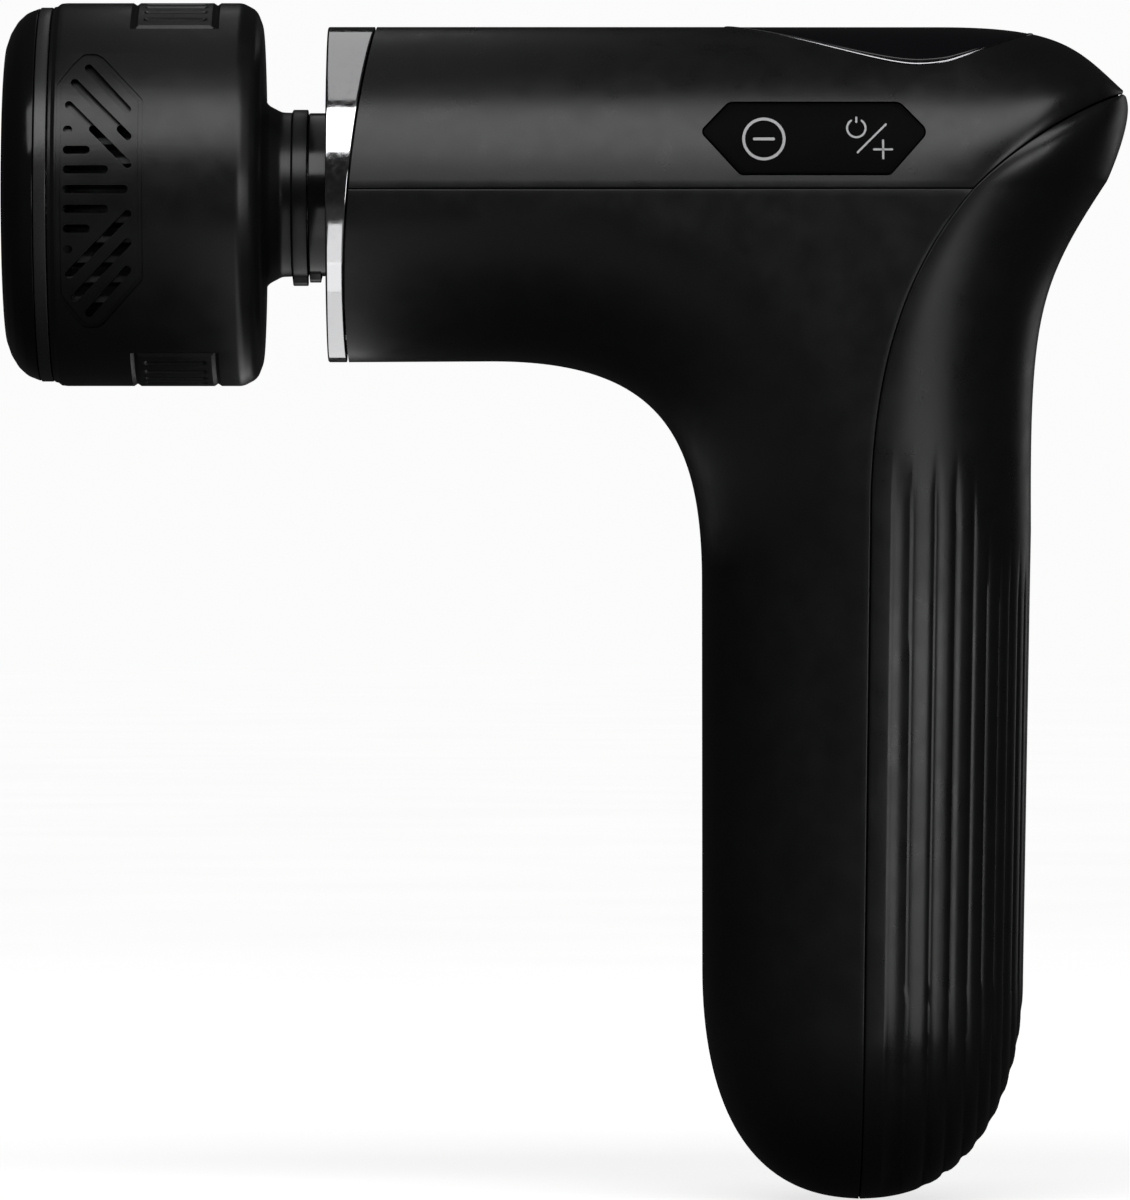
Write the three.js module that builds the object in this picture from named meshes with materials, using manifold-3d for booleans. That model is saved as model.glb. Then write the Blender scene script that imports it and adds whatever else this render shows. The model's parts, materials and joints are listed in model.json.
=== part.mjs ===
// Mini massage gun: a reciprocating barrel on a vertical grip, with a clip-in hot and cold head.
// Millimetres, +Z up.  The barrel runs along X and the head points to -X.
// The origin is the centre of the hand grip; everything is drawn from the barrel axis, which lies
// GRIP_TO_AXIS above it, inside one lifted group.
import * as THREE from 'three';
import { mergeVertices } from 'three/addons/utils/BufferGeometryUtils.js';
import Module from 'manifold-3d';

// ---------------------------------------------------------------- driving dimensions
const GRIP_TO_AXIS = 67;       // grip centre up to the barrel axis
const BARREL_R = 22.5;         // barrel outer radius
const GRIP_HALF_W = 20;        // half width of the grip across Y
const FOOT_Z = -134.8;         // lowest point of the grip, below the barrel axis
const WALL = 2;                // moulded wall
const GAP = 0.3;               // clearance between neighbouring pieces
const PART_Z = 0;              // level of the parting line along the barrel
const BODY_FRONT = -69.6;      // foremost point of the two barrel shells
const RING_FRONT = -72;        // front face of the bright nose ring
const NOSE_ARC_R = 165;        // curved rear edge of the nose ring, seen from the side
const NOSE_ARC_Z = -14;
const HEAD_R = 25.7;           // clip-in head
const HEAD_FRONT = -115.04;
const HEAD_BACK = -80.7;
const NECK_R = 11;
const HUB_R = 11.15;           // output hub on the reciprocating shaft
const STROKE = 6;
const THROW = STROKE / 2;
const ROD_L = 26;              // centre to centre of the connecting rod
const MOTOR_R = 15;
const CELL_R = 9.2;            // 18650 cells
const CELL_TOP = -49.5;
const CELL_L = 65;

// ---------------------------------------------------------------- looks
const LOOK = {
  shell: [0x1b1c1e, 0.55, 0.0],
  gloss: [0x0d0d0f, 0.15, 0.0],
  grip: [0x1a1a1b, 0.7, 0.0],
  chrome: [0xd7d9dc, 0.12, 1.0],
  steel: [0x9ea2a6, 0.3, 1.0],
  dark: [0x2b2c2e, 0.5, 0.0],
  grey: [0x8f9296, 0.4, 0.0],
  alu: [0xb9bcbf, 0.35, 1.0],
  board: [0x1d4a33, 0.5, 0.0],
  rubber: [0x161616, 0.9, 0.0],
  bronze: [0x9a7440, 0.35, 1.0],
  cell: [0x2f6f9a, 0.4, 0.0],
  ceramic: [0xe6e6e2, 0.5, 0.0],
  glass: [0x111318, 0.05, 0.0],
};

// ---------------------------------------------------------------- solids
const wasm = await Module();
wasm.setup();

// A closed geometry becomes a solid: welded, without collapsed triangles, faces outward.
function solid(geometry) {
  const bare = geometry.clone();
  bare.deleteAttribute('normal');
  bare.deleteAttribute('uv');
  const g = mergeVertices(bare, 1e-4);
  const p = g.attributes.position.array;
  const kept = [];
  let volume = 0;
  for (let i = 0; i < g.index.count; i += 3) {
    const [a, b, c] = [g.index.getX(i), g.index.getX(i + 1), g.index.getX(i + 2)];
    if (a === b || b === c || a === c) continue;
    kept.push(a, b, c);
    const A = new THREE.Vector3().fromArray(p, 3 * a);
    const B = new THREE.Vector3().fromArray(p, 3 * b);
    const C = new THREE.Vector3().fromArray(p, 3 * c);
    volume += A.dot(B.cross(C));
  }
  if (volume < 0) kept.reverse();
  return new wasm.Manifold(new wasm.Mesh({
    numProp: 3,
    vertProperties: new Float32Array(p),
    triVerts: new Uint32Array(kept),
  }));
}

function toGeometry(body) {
  const m = body.getMesh();
  const g = new THREE.BufferGeometry();
  g.setAttribute('position', new THREE.BufferAttribute(new Float32Array(m.vertProperties), 3));
  g.setIndex(new THREE.BufferAttribute(new Uint32Array(m.triVerts), 1));
  g.computeVertexNormals();
  return g;
}

const join = (first, ...rest) => rest.reduce((sum, s) => sum.add(s), first);
const cut = (first, ...rest) => rest.reduce((left, s) => left.subtract(s), first);

function shapeOf(outline) {
  return outline instanceof THREE.Shape
    ? outline
    : new THREE.Shape(outline.map(([u, v]) => new THREE.Vector2(u, v)));
}

function extrude(outline, from, to, basis, curveSegments = 6) {
  const depth = to - from;
  const g = new THREE.ExtrudeGeometry(shapeOf(outline), { depth, bevelEnabled: false, curveSegments });
  g.translate(0, 0, from);
  return solid(g.applyMatrix4(basis));
}

// Extrusions along Y of an (x, z) outline, along Z of (x, y), along X of (y, z).
const FLIP_Y = new THREE.Matrix4().set(1, 0, 0, 0, 0, 0, -1, 0, 0, 1, 0, 0, 0, 0, 0, 1);
const ALONG_X = new THREE.Matrix4().set(0, 0, 1, 0, 1, 0, 0, 0, 0, 1, 0, 0, 0, 0, 0, 1);
const alongY = (outline, y0, y1, n) => extrude(outline, -y1, -y0, FLIP_Y, n);
const alongZ = (outline, z0, z1, n) => extrude(outline, z0, z1, new THREE.Matrix4(), n);
const alongX = (outline, x0, x1, n) => extrude(outline, x0, x1, ALONG_X, n);

function box(x0, x1, y0, y1, z0, z1) {
  const g = new THREE.BoxGeometry(x1 - x0, y1 - y0, z1 - z0);
  return solid(g.translate((x0 + x1) / 2, (y0 + y1) / 2, (z0 + z1) / 2));
}

// Turned pieces: a closed profile of [position along the axis, radius].
function turned(profile, segments) {
  const ring = profile.every(([, r]) => r > 0);
  const points = profile.map(([a, r]) => new THREE.Vector2(r, a));
  if (ring) points.push(points[0].clone());
  return new THREE.LatheGeometry(points, segments);
}
const turnedX = (profile, segments = 24) => solid(turned(profile, segments).rotateZ(-Math.PI / 2));
const turnedZ = (profile, segments = 18, x = 0, y = 0) =>
  solid(turned(profile, segments).rotateX(Math.PI / 2).translate(x, y, 0));
const turnedY = (profile, segments = 16, x = 0, z = 0) => solid(turned(profile, segments).translate(x, 0, z));
const rod = (a0, a1, r) => [[a0, 0], [a0, r], [a1, r], [a1, 0]];
const tube = (a0, a1, rIn, rOut) => [[a0, rIn], [a0, rOut], [a1, rOut], [a1, rIn]];

// ---------------------------------------------------------------- the group
const gun = new THREE.Group();
const lifted = new THREE.Group();
lifted.position.z = GRIP_TO_AXIS;
gun.add(lifted);

function piece(name, body, look, place = [0, 0, 0]) {
  const [color, roughness, metalness] = LOOK[look];
  const material = new THREE.MeshStandardMaterial({ color, roughness, metalness });
  const mesh = new THREE.Mesh(toGeometry(body), material);
  mesh.name = name;
  mesh.position.set(...place);
  lifted.add(mesh);
}

// ---------------------------------------------------------------- outlines seen from the side
const at = (x, z) => new THREE.Vector2(x, z);
const line = (a, b) => new THREE.LineCurve(at(...a), at(...b));
const bend = (a, b, c, d) => new THREE.CubicBezierCurve(at(...a), at(...b), at(...c), at(...d));
const mix = (a, b, t) => a + (b - a) * t;

// Silhouette, from the barrel's top edge back, round the crest and down to the foot.
const TOP_EDGE = line([-74, BARREL_R], [10, BARREL_R]);
const TOP_BACK = bend([10, BARREL_R], [26, BARREL_R], [28.4, 19.9], [34.5, 14.0]);
const BACK_UPPER = bend([35.1, 12.8], [36.3, 10.2], [32.7, 2.0], [32.5, 1.7]);
const BACK_LOWER = bend([32.5, 1.7], [23.2, -12.35], [22.2, -16.3], [22.35, -45]);
const BACK_GRIP = line([22.35, -45], [21.3, -105]);
const BACK_FOOT = bend([21.3, -105], [21.3, -120.3], [15.0, FOOT_Z], [0, FOOT_Z]);
const UNDER_EDGE = line([-74, -BARREL_R], [-50, -22.4]);
const UNDER_CORNER = bend([-50, -22.4], [-27.8, -22.4], [-21.85, -32.0], [-21.85, -52]);
const FRONT_GRIP = line([-21.85, -52], [-21.8, -104]);
const FRONT_FOOT = bend([-21.8, -104], [-21.8, -120.2], [-16.8, FOOT_Z], [-0.8, FOOT_Z]);

// Line along which the rear grip cover meets the other two shells.
const SEAM_TIP = [13.8, PART_Z];
const SEAM_UPPER = bend([34.7, 13.4], [27.0, 10.5], [19.2, 5.6], SEAM_TIP);
const SEAM_LOWER = bend(SEAM_TIP, [6.8, -8.2], [0.1, -20.0], [0.3, -45]);
const SEAM_GRIP = line([0.3, -45], [-0.8, FOOT_Z]);

const seamPoints = [...SEAM_LOWER.getPoints(24), ...SEAM_GRIP.getPoints(24).slice(1)];
function seamX(z) {
  const i = Math.max(1, seamPoints.findIndex((p) => p.y <= z));
  const [a, b] = [seamPoints[i - 1], seamPoints[i]];
  return mix(a.x, b.x, (z - a.y) / (b.y - a.y));
}

// Half width of the body on its middle, tapering into the rounded back and the rounded foot.
const smooth = (t) => t * t * (3 - 2 * t);
const clamp01 = (t) => Math.min(1, Math.max(0, t));
const roundEnd = (t) => Math.sqrt(Math.max(0, 1 - clamp01(t) ** 2));
function halfWidth(x, z) {
  const base = mix(BARREL_R, GRIP_HALF_W, smooth(clamp01((-10 - z) / 50)));
  return base * roundEnd((x - 12) / 23.1) * roundEnd((-112 - z) / 22.85);
}

// ---------------------------------------------------------------- shell surfaces
// A shell is ruled by rungs, each from a silhouette point (y = 0) to the middle of the side.
function rungsOf(rim, middle, count) {
  return Array.from({ length: count + 1 }, (_, i) => ({ rim: rim(i / count), mid: middle(i / count) }));
}
const along = (curve, t0 = 0, t1 = 1) => (t) => curve.getPoint(mix(t0, t1, t));

const TOP_RUNGS = [
  ...rungsOf((t) => at(mix(-74, -5, t), BARREL_R), (t) => at(mix(-74, -5, t), PART_Z), 1),
  ...rungsOf((t) => at(mix(-5, 10, t), BARREL_R), (t) => at(mix(-5, SEAM_TIP[0], t), PART_Z), 3).slice(1),
  ...rungsOf(along(TOP_BACK), along(SEAM_UPPER, 1, 0.02), 9).slice(1),
];
const FRONT_RUNGS = [
  ...rungsOf((t) => at(mix(-74, -50, t), mix(-BARREL_R, -22.4, t)), (t) => at(mix(-74, -50, t), PART_Z), 1),
  ...rungsOf(along(UNDER_CORNER, 0, 0.55), (t) => at(mix(-50, SEAM_TIP[0], t), PART_Z), 6).slice(1),
  ...rungsOf(along(UNDER_CORNER, 0.55, 1), along(SEAM_LOWER), 5).slice(1),
  ...rungsOf(along(FRONT_GRIP), (t) => at(seamX(mix(-52, -104, t)), mix(-52, -104, t)), 2).slice(1),
  ...rungsOf(along(FRONT_FOOT, 0, 0.97), (t) => {
    const p = FRONT_FOOT.getPoint(0.97 * t);
    return at(seamX(p.y), p.y);
  }, 8).slice(1),
];
const BACK_RUNGS = [
  ...rungsOf(along(BACK_UPPER), along(SEAM_UPPER, 0.03, 1), 8),
  ...rungsOf(along(BACK_LOWER), along(SEAM_LOWER), 6).slice(1),
  ...rungsOf(along(BACK_GRIP), (t) => at(seamX(mix(-45, -105, t)), mix(-45, -105, t)), 2).slice(1),
  ...rungsOf(along(BACK_FOOT, 0, 0.96), (t) => {
    const p = BACK_FOOT.getPoint(0.96 * t);
    return at(seamX(p.y), p.y);
  }, 8).slice(1),
];

// Rungs longer than this cross the corner under the barrel, where the depth below the
// silhouette sets the roundness instead of the place along the rung.
const LONG_RUNG = 25;

// Full-width body between a silhouette and the seam.  inset shrinks it for the hollow, and
// reach moves its seam side: inward for the clearance, outward where it only cuts.
function bodyOf(rungs, inset, reach, rings = 7) {
  const rims = rungs.map((r) => r.rim);
  const inner = rungs.map(({ rim, mid }) => {
    const chord = mid.clone().sub(rim);
    const far = mid.clone().add(chord.clone().setLength(reach));
    const near = rim.clone().add(chord.clone().setLength(Math.min(inset, chord.length() * 0.45)));
    return { near, far };
  });
  const keep = inner.filter(({ near, far }) => near.distanceTo(far) > (inset > 0 ? 5 : 0.5));
  const distance = (p) => {
    let best = Infinity;
    for (let i = 1; i < rims.length; i += 1) {
      const edge = rims[i].clone().sub(rims[i - 1]);
      const t = clamp01(p.clone().sub(rims[i - 1]).dot(edge) / edge.lengthSq());
      best = Math.min(best, p.distanceTo(rims[i - 1].clone().addScaledVector(edge, t)));
    }
    return best;
  };
  const position = [];
  const index = [];
  const rows = keep.length;
  for (const { near, far } of keep) {
    const chord = far.clone().sub(near);
    for (let j = 0; j <= rings; j += 1) {
      const angle = (j / rings) * Math.PI / 2;
      const p = near.clone().addScaledVector(chord, 1 - Math.cos(angle));
      const long = chord.length() > LONG_RUNG;
      const depth = long ? (distance(p) - inset) / (BARREL_R - inset) : 1 - Math.cos(angle);
      const full = Math.max(0.3, halfWidth(Math.min(far.x, p.x + 30), p.y) - inset);
      const y = j === 0 ? 0 : Math.max(0.05, full * roundEnd(1 - clamp01(depth)));
      position.push([p.x, y, p.y]);
    }
  }
  const id = (row, ring, side) => 2 * (row * (rings + 1) + ring) + (ring === 0 ? 0 : side);
  const quad = (a, b, c, d) => index.push(a, b, c, a, c, d);
  for (let i = 0; i < rows - 1; i += 1) {
    for (let j = 0; j < rings; j += 1) {
      quad(id(i, j, 0), id(i, j + 1, 0), id(i + 1, j + 1, 0), id(i + 1, j, 0));
      quad(id(i + 1, j, 1), id(i + 1, j + 1, 1), id(i, j + 1, 1), id(i, j, 1));
    }
    quad(id(i, rings, 0), id(i, rings, 1), id(i + 1, rings, 1), id(i + 1, rings, 0));
  }
  for (let j = 0; j < rings; j += 1) {
    quad(id(0, j + 1, 0), id(0, j, 0), id(0, j, 1), id(0, j + 1, 1));
    quad(id(rows - 1, j, 0), id(rows - 1, j + 1, 0), id(rows - 1, j + 1, 1), id(rows - 1, j, 1));
  }
  const g = new THREE.BufferGeometry();
  const flat = position.flatMap(([x, y, z]) => [x, y, z, x, -y, z]);
  g.setAttribute('position', new THREE.Float32BufferAttribute(flat, 3));
  g.setIndex(index);
  return solid(g);
}

// ---------------------------------------------------------------- shells
const topBody = bodyOf(TOP_RUNGS, 0, -GAP / 2);
const frontBody = bodyOf(FRONT_RUNGS, 0, -GAP / 2);
const backBody = bodyOf(BACK_RUNGS, 0, -GAP / 2);
const hollowOf = (rungs, wall) => bodyOf(rungs, wall, 2, 5);

// Everything in front of the slanted rear edge of the nose ring.
function noseOutline(shift) {
  const curve = [-30, -20, -10, 0, 10, 20, 30].map((z) => [
    BODY_FRONT + shift + (z - NOSE_ARC_Z) ** 2 / (2 * NOSE_ARC_R), z,
  ]);
  return [[-90, -30], ...curve, [-90, 30]];
}
const ahead = (shift) => alongY(noseOutline(shift), -40, 40);

// Display window in plan: rounded in front, widest behind the middle.
function teardrop(grow) {
  const front = -18.2 - grow;
  const back = 22 + grow;
  const half = 14 + grow;
  const s = new THREE.Shape();
  s.moveTo(front, 0);
  s.bezierCurveTo(front, -5.5, -1, -half, 6.9, -half);
  s.bezierCurveTo(15.5, -half, back, -8.5, back, 0);
  s.bezierCurveTo(back, 8.5, 15.5, half, 6.9, half);
  s.bezierCurveTo(-1, half, front, 5.5, front, 0);
  return s;
}

// Control key in side view: a long hexagon.
function hexagon(grow) {
  return [
    [-22.2 - 1.2 * grow, 7.6], [-17 - 0.7 * grow, 1.9 - grow], [2.8 + 0.7 * grow, 1.9 - grow],
    [7.8 + 1.2 * grow, 7.6], [4.1 + 0.5 * grow, 11.5 + grow], [-18.5 - 0.5 * grow, 11.5 + grow],
  ];
}

const TRIM_GAP = 0.3;
const TRIM_W = 0.6;
const skin = cut(topBody, hollowOf(TOP_RUNGS, 1.7));
piece('barrel_top_cover', cut(
  topBody, hollowOf(TOP_RUNGS, WALL), ahead(GAP),
  alongZ(teardrop(2 * TRIM_GAP + TRIM_W), 8, 30, 5),
  alongY(hexagon(0.35), -30, -5),
), 'shell');
piece('display_lens', skin.intersect(alongZ(teardrop(0), 8, 30, 5)), 'glass');
piece('display_trim', cut(
  skin.intersect(alongZ(teardrop(TRIM_GAP + TRIM_W), 8, 30, 5)), alongZ(teardrop(TRIM_GAP), 8, 30, 5),
), 'chrome');

const screwHole = (x, y, z0, z1) => turnedZ(rod(z0, z1, 1.3), 10, x, y);
const boss = (x, side, y0, y1, z0, z1, half = 2.6) =>
  box(x - half, x + half, side > 0 ? y0 : -y1, side > 0 ? y1 : -y0, z0, z1);

const FRAME_X = [-13, 11];     // frame screws stand round the motor
const FRAME_Y = 14.4;
const FRAME_Z = -20.4;         // underside of the frame plate
const MOTOR_X = -8;            // motor base screws
const MOTOR_Y = 13.8;
const MOTOR_Z = -42.6;         // underside of the motor base
const PORT_X = -8;             // charging port in the foot

const frontBosses = [1, -1].flatMap((side) => [
  boss(FRAME_X[0], side, 12.2, 22, -31, FRAME_Z - GAP),
  boss(MOTOR_X, side, 12.2, 22, -50, MOTOR_Z - GAP),
]).map((s) => s.intersect(bodyOf(FRONT_RUNGS, 0.8, -GAP)));
piece('front_housing', cut(
  join(cut(frontBody, hollowOf(FRONT_RUNGS, WALL)), ...frontBosses), ahead(GAP),
  box(PORT_X - 2.1, PORT_X + 2.1, -4.95, 4.95, -140, -128),
  ...[1, -1].flatMap((side) => [
    screwHole(FRAME_X[0], side * FRAME_Y, -28.5, -20),
    screwHole(MOTOR_X, side * MOTOR_Y, -48.5, -42),
  ]),
), 'grip');

const backBosses = [1, -1]
  .map((side) => boss(FRAME_X[1], side, 12.8, 22, -31, FRAME_Z - GAP, 2.1))
  .map((s) => s.intersect(bodyOf(BACK_RUNGS, 0.8, -GAP)));
piece('rear_grip_cover', cut(
  join(cut(backBody, hollowOf(BACK_RUNGS, WALL)), ...backBosses),
  ...[1, -1].map((side) => screwHole(FRAME_X[1], side * FRAME_Y, -28.5, -20)),
), 'shell');

// ---------------------------------------------------------------- nose
const ring = turnedX([
  [RING_FRONT, 20.3], [RING_FRONT, 21.5], [RING_FRONT + 1, BARREL_R], [-60, BARREL_R], [-60, 20.3],
], 36);
piece('nose_ring', ring.intersect(ahead(-GAP / 2)), 'chrome');
piece('nose_plate', join(
  turnedX(tube(-71.7, -69.9, 12.4, 20)),
  turnedX(tube(-70.1, -63.4, 14.8, 16.6)),
), 'dark');
piece('dust_seal', turnedX(tube(-66.2, -63.7, 11.5, 14.5)), 'rubber');

// ---------------------------------------------------------------- control key
const keyPlate = skin.intersect(alongY(hexagon(0), -30, -5));
const keyPost = (x) => box(x - 0.8, x + 0.8, -20.6, -18.4, 4.5, 7.5);
piece('control_key', join(keyPlate, keyPost(-17), keyPost(2.6), box(-8, -6.4, -20.6, -18, 4, 9)), 'gloss');
const tact = (x) => join(box(x - 2, x + 2, -16.6, -14.5, 4, 8), turnedY(rod(-17.7, -16.5, 1.1), 10, x, 6));
piece('key_board', join(box(-19.5, 5.2, -14.6, -13.4, 2.6, 10.8), tact(-17), tact(2.6)), 'board');

// ---------------------------------------------------------------- boards and cells
const chip = (x0, x1, y0, y1) => box(x0, x1, y0, y1, 14.7, 16.4);
piece('main_board', cut(
  join(
    box(-60, -20, -11, 11, 13.4, 14.8),
    chip(-36, -30, -3, 3), chip(-28, -24, -7, -3), chip(-28, -23, 2, 7),
  ),
  ...[-49.5, -40.5].map((x) => screwHole(x, 0, 13, 15)),
), 'board');
piece('display_board', box(-14, 15, -8.2, 8.2, 15.4, 16.8), 'board');

const CELLS = { front: -9.55, rear: 9.05 };
for (const [side, x] of Object.entries(CELLS)) {
  const z = CELL_TOP;
  piece(`battery_cell_${side}`, turnedZ([
    [z - CELL_L, 0], [z - CELL_L, CELL_R], [z - 1.5, CELL_R], [z - 1.5, 3], [z, 3], [z, 0],
  ]), 'cell', [x, 0, 0]);
}
function cellPlate(radius, z0, z1) {
  const s = new THREE.Shape();
  s.absarc(CELLS.rear, 0, radius, -Math.PI / 2, Math.PI / 2, false);
  s.absarc(CELLS.front, 0, radius, Math.PI / 2, (3 * Math.PI) / 2, false);
  return alongZ(s, z0, z1, 8);
}
const cellFoot = CELL_TOP - CELL_L;
const rail = (y0, y1) => box(-1.4, 0.9, y0, y1, cellFoot - 1, CELL_TOP + 1);
piece('battery_cradle', join(
  cellPlate(8.6, CELL_TOP + 0.3, CELL_TOP + 2.1),
  cellPlate(8.6, cellFoot - 2.1, cellFoot - 0.3),
  rail(5.6, 8.4),
  rail(-8.4, -5.6),
), 'dark');
piece('charge_board', alongZ([
  [-12, -5], [-8, -10], [8, -10], [12, -5], [12, 5], [8, 10], [-8, 10], [-12, 5],
], -125.4, -124), 'board');
piece('usb_c_socket', join(
  cut(
    box(PORT_X - 1.8, PORT_X + 1.8, -4.65, 4.65, -131.4, -125.7),
    box(PORT_X - 1.3, PORT_X + 1.3, -4.15, 4.15, -132, -126.4),
  ),
  box(PORT_X - 0.35, PORT_X + 0.35, -3.3, 3.3, -131, -126),
), 'steel');

// ---------------------------------------------------------------- drive frame
const rails = [1, -1].flatMap((side) => {
  const [y0, y1] = side > 0 ? [7, 9.5] : [-9.5, -7];
  return [box(-50, -13, y0, y1, -12.5, -9), box(-17, -13, y0, y1, -19, -9)];
});
const framePlate = cut(
  box(-15.5, 13, -16, 16, FRAME_Z, FRAME_Z + 2),
  box(-6, 6, 12, 20, -25, -10), box(-6, 6, -20, -12, -25, -10),
);
piece('drive_frame', cut(
  join(
    framePlate, ...rails,
    turnedZ(tube(-20, -14.2, 6.8, 9), 28), turnedX(tube(-52, -38, 9, 12.5), 32),
  ),
  turnedZ(rod(-22, -14, 6.8), 28),
  ...[1, -1].flatMap((side) => FRAME_X.map((x) => screwHole(x, side * FRAME_Y, -22, -17))),
  ...[-49.5, -40.5].map((x) => screwHole(x, 0, 10.4, 14)),
), 'alu');
piece('guide_bush', turnedX(tube(-52, -38, 6.3, 8.7), 28), 'bronze');
piece('crank_bearing', turnedZ(tube(-18.6, -14.4, 2.5, 6.5), 24), 'steel');
for (const [name, side] of [['left', 1], ['right', -1]]) {
  const [y0, y1] = side > 0 ? [12.9, 19] : [-19, -12.9];
  piece(`frame_damper_${name}`, box(-49, -41, y0, y1, -4, 4), 'rubber');
}

// ---------------------------------------------------------------- motor
const ear = (y0, y1) => box(MOTOR_X - 2.6, MOTOR_X + 2.6, y0, y1, MOTOR_Z, MOTOR_Z + 2);
piece('motor_base', cut(
  join(turnedZ(rod(MOTOR_Z, MOTOR_Z + 2, 15), 32), ear(10, 15.5), ear(-15.5, -10)),
  turnedZ(rod(-44, -40, 2.6), 16),
  ...[1, -1].map((side) => screwHole(MOTOR_X, side * MOTOR_Y, -44, -40)),
), 'alu');

const POLES = 9;
const star = Array.from({ length: POLES }, (_, k) => {
  const turn = (r, degrees) => {
    const a = THREE.MathUtils.degToRad((k * 360) / POLES + degrees);
    return [r * Math.cos(a), r * Math.sin(a)];
  };
  return [turn(5.4, -20), turn(5.8, -13), turn(10, -7), turn(10.6, -16), turn(12.4, -16),
    turn(12.7, 0), turn(12.4, 16), turn(10.6, 16), turn(10, 7), turn(5.8, 13)];
}).flat();
piece('motor_stator', cut(alongZ(star, -40.3, -25.5), turnedZ(rod(-42, -24, 2.6), 16)), 'bronze');
piece('rotor_can', turnedZ([
  [-38.3, 13.2], [-38.3, MOTOR_R], [-22.4, MOTOR_R], [-21.4, MOTOR_R - 1],
  [-21.4, 2.5], [-23.4, 2.5], [-23.4, 13.2],
], 32), 'steel');
piece('motor_shaft', turnedZ(rod(-42.4, -9.7, 2.2), 16), 'steel');

// ---------------------------------------------------------------- crank, rod and piston
const counterweight = new THREE.Shape();
counterweight.absarc(0, 0, 9.5, -1.2, 1.2, false);
counterweight.absarc(0, 0, 6.2, 1.8, 2 * Math.PI - 1.8, false);
piece('crank_disc', cut(alongZ(counterweight, -13.6, -9.4, 12), turnedZ(rod(-14, -9, 2.5), 16)), 'steel');

const pinX = -THROW;
const wristX = pinX - ROD_L;
piece('crank_pin', turnedZ([[-9.1, 0], [-9.1, 2], [3.4, 2], [3.4, 0]], 16, pinX), 'steel');
piece('big_end_bearing', turnedZ(tube(-2.9, 2.9, 2.3, 5), 24, pinX), 'steel');
const rodBar = box(wristX + 2, pinX - 4, -2.5, 2.5, -2.2, 2.2);
piece('connecting_rod', cut(
  join(turnedZ(rod(-2.6, 2.6, 7.6), 28, pinX), turnedZ(rod(-2.6, 2.6, 4.5), 20, wristX), rodBar),
  turnedZ(rod(-5, 5, 5.3), 24, pinX), turnedZ(rod(-5, 5, 2.3), 16, wristX),
), 'alu');
piece('wrist_pin', turnedZ(rod(-6.6, 6.6, 2), 16, wristX), 'steel');
piece('piston_shaft', cut(
  join(
    turnedX([[-61.4, 0], [-61.4, 4], [-59.1, 4], [-59.1, 6], [-35, 6], [-35, 0]], 28),
    box(-37.5, wristX + 4.6, -4.5, 4.5, -6.3, 6.3),
  ),
  box(-33.9, -20, -6, 6, -2.95, 2.95), turnedZ(rod(-8, 8, 2.3), 16, wristX),
), 'steel');
const tab = (x0, x1) => box(x0, x1, -2.5, 2.5, -11.95, -10);
const hub = turnedX([
  [-74.6, 8.3], [-74.6, HUB_R], [-59.4, HUB_R], [-59.4, 4.3], [-61.7, 4.3], [-61.7, 8.3],
], 36);
piece('output_hub', join(hub, tab(-74.6, -72.9)), 'dark');

// ---------------------------------------------------------------- clip-in head
const housing = turnedX([
  [-108.7, 23.5], [-108.7, 25.2], [-107.9, 25.6], [-107, HEAD_R], [-83.2, HEAD_R], [-81.4, 24.9],
  [HEAD_BACK, 23], [HEAD_BACK, 13.6], [-79.8, 11.7], [-77.8, NECK_R], [-76.7, NECK_R], [-76.7, 11.5],
  [-74.9, 11.5], [-74.9, 8.3], [-82.9, 8.3], [-82.9, 23.5],
], 36);

// One vent slot as a long hexagon in side view.
const SLOT_R = 0.54;
const VENT_Z = -0.2;
function slot([x0, z0], [x1, z1]) {
  const u = at(x1 - x0, z1 - z0).normalize().multiplyScalar(SLOT_R);
  return [
    [x0 - u.x, z0 - u.y], [x0 + u.y, z0 - u.x], [x1 + u.y, z1 - u.x],
    [x1 + u.x, z1 + u.y], [x1 - u.y, z1 + u.x], [x0 - u.y, z0 + u.x],
  ];
}
const HALF_VENT = [
  [[-103.3, 16.2], [-98.1, 10.6]], [[-105.1, 14.2], [-98, 7]], [[-105.8, 11.2], [-98, 3.3]],
  [[-106, 7.9], [-105.8, 7.9]], [[-106, 5.2], [-103.5, 5.2]], [[-106, 2.6], [-101.1, 2.6]],
];
const vents = HALF_VENT.flatMap((ends) => [ends, ends.map(([x, z]) => [x, -z])]);
vents.push([[-106, 0], [-98.5, 0]]);
const raised = ([x, z]) => [x, z + VENT_Z];
piece('head_housing', cut(
  join(housing, tab(-76.7, -74.9)),
  ...vents.map(([a, c]) => alongY(slot(raised(a), raised(c)), -30, 30)),
), 'shell');
piece('head_bezel', turnedX([
  [HEAD_FRONT, 19.4], [-114.95, 20], [-114.4, 21.6], [-113.5, 23.2],
  [-112.3, 24.3], [-110.8, 25], [-110.8, 19.4],
], 36), 'gloss');
piece('contact_plate', turnedX([
  [HEAD_FRONT, 0], [HEAD_FRONT, 18.8], [-114.7, 19.1], [-112.9, 19.1], [-112.9, 0],
], 28), 'gloss');
piece('trim_ring', turnedX(tube(-110.5, -109, 20.5, 25.1), 36), 'grey');
piece('peltier_module', box(-112.6, -109, -13, 13, -13, 13), 'ceramic');

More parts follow.
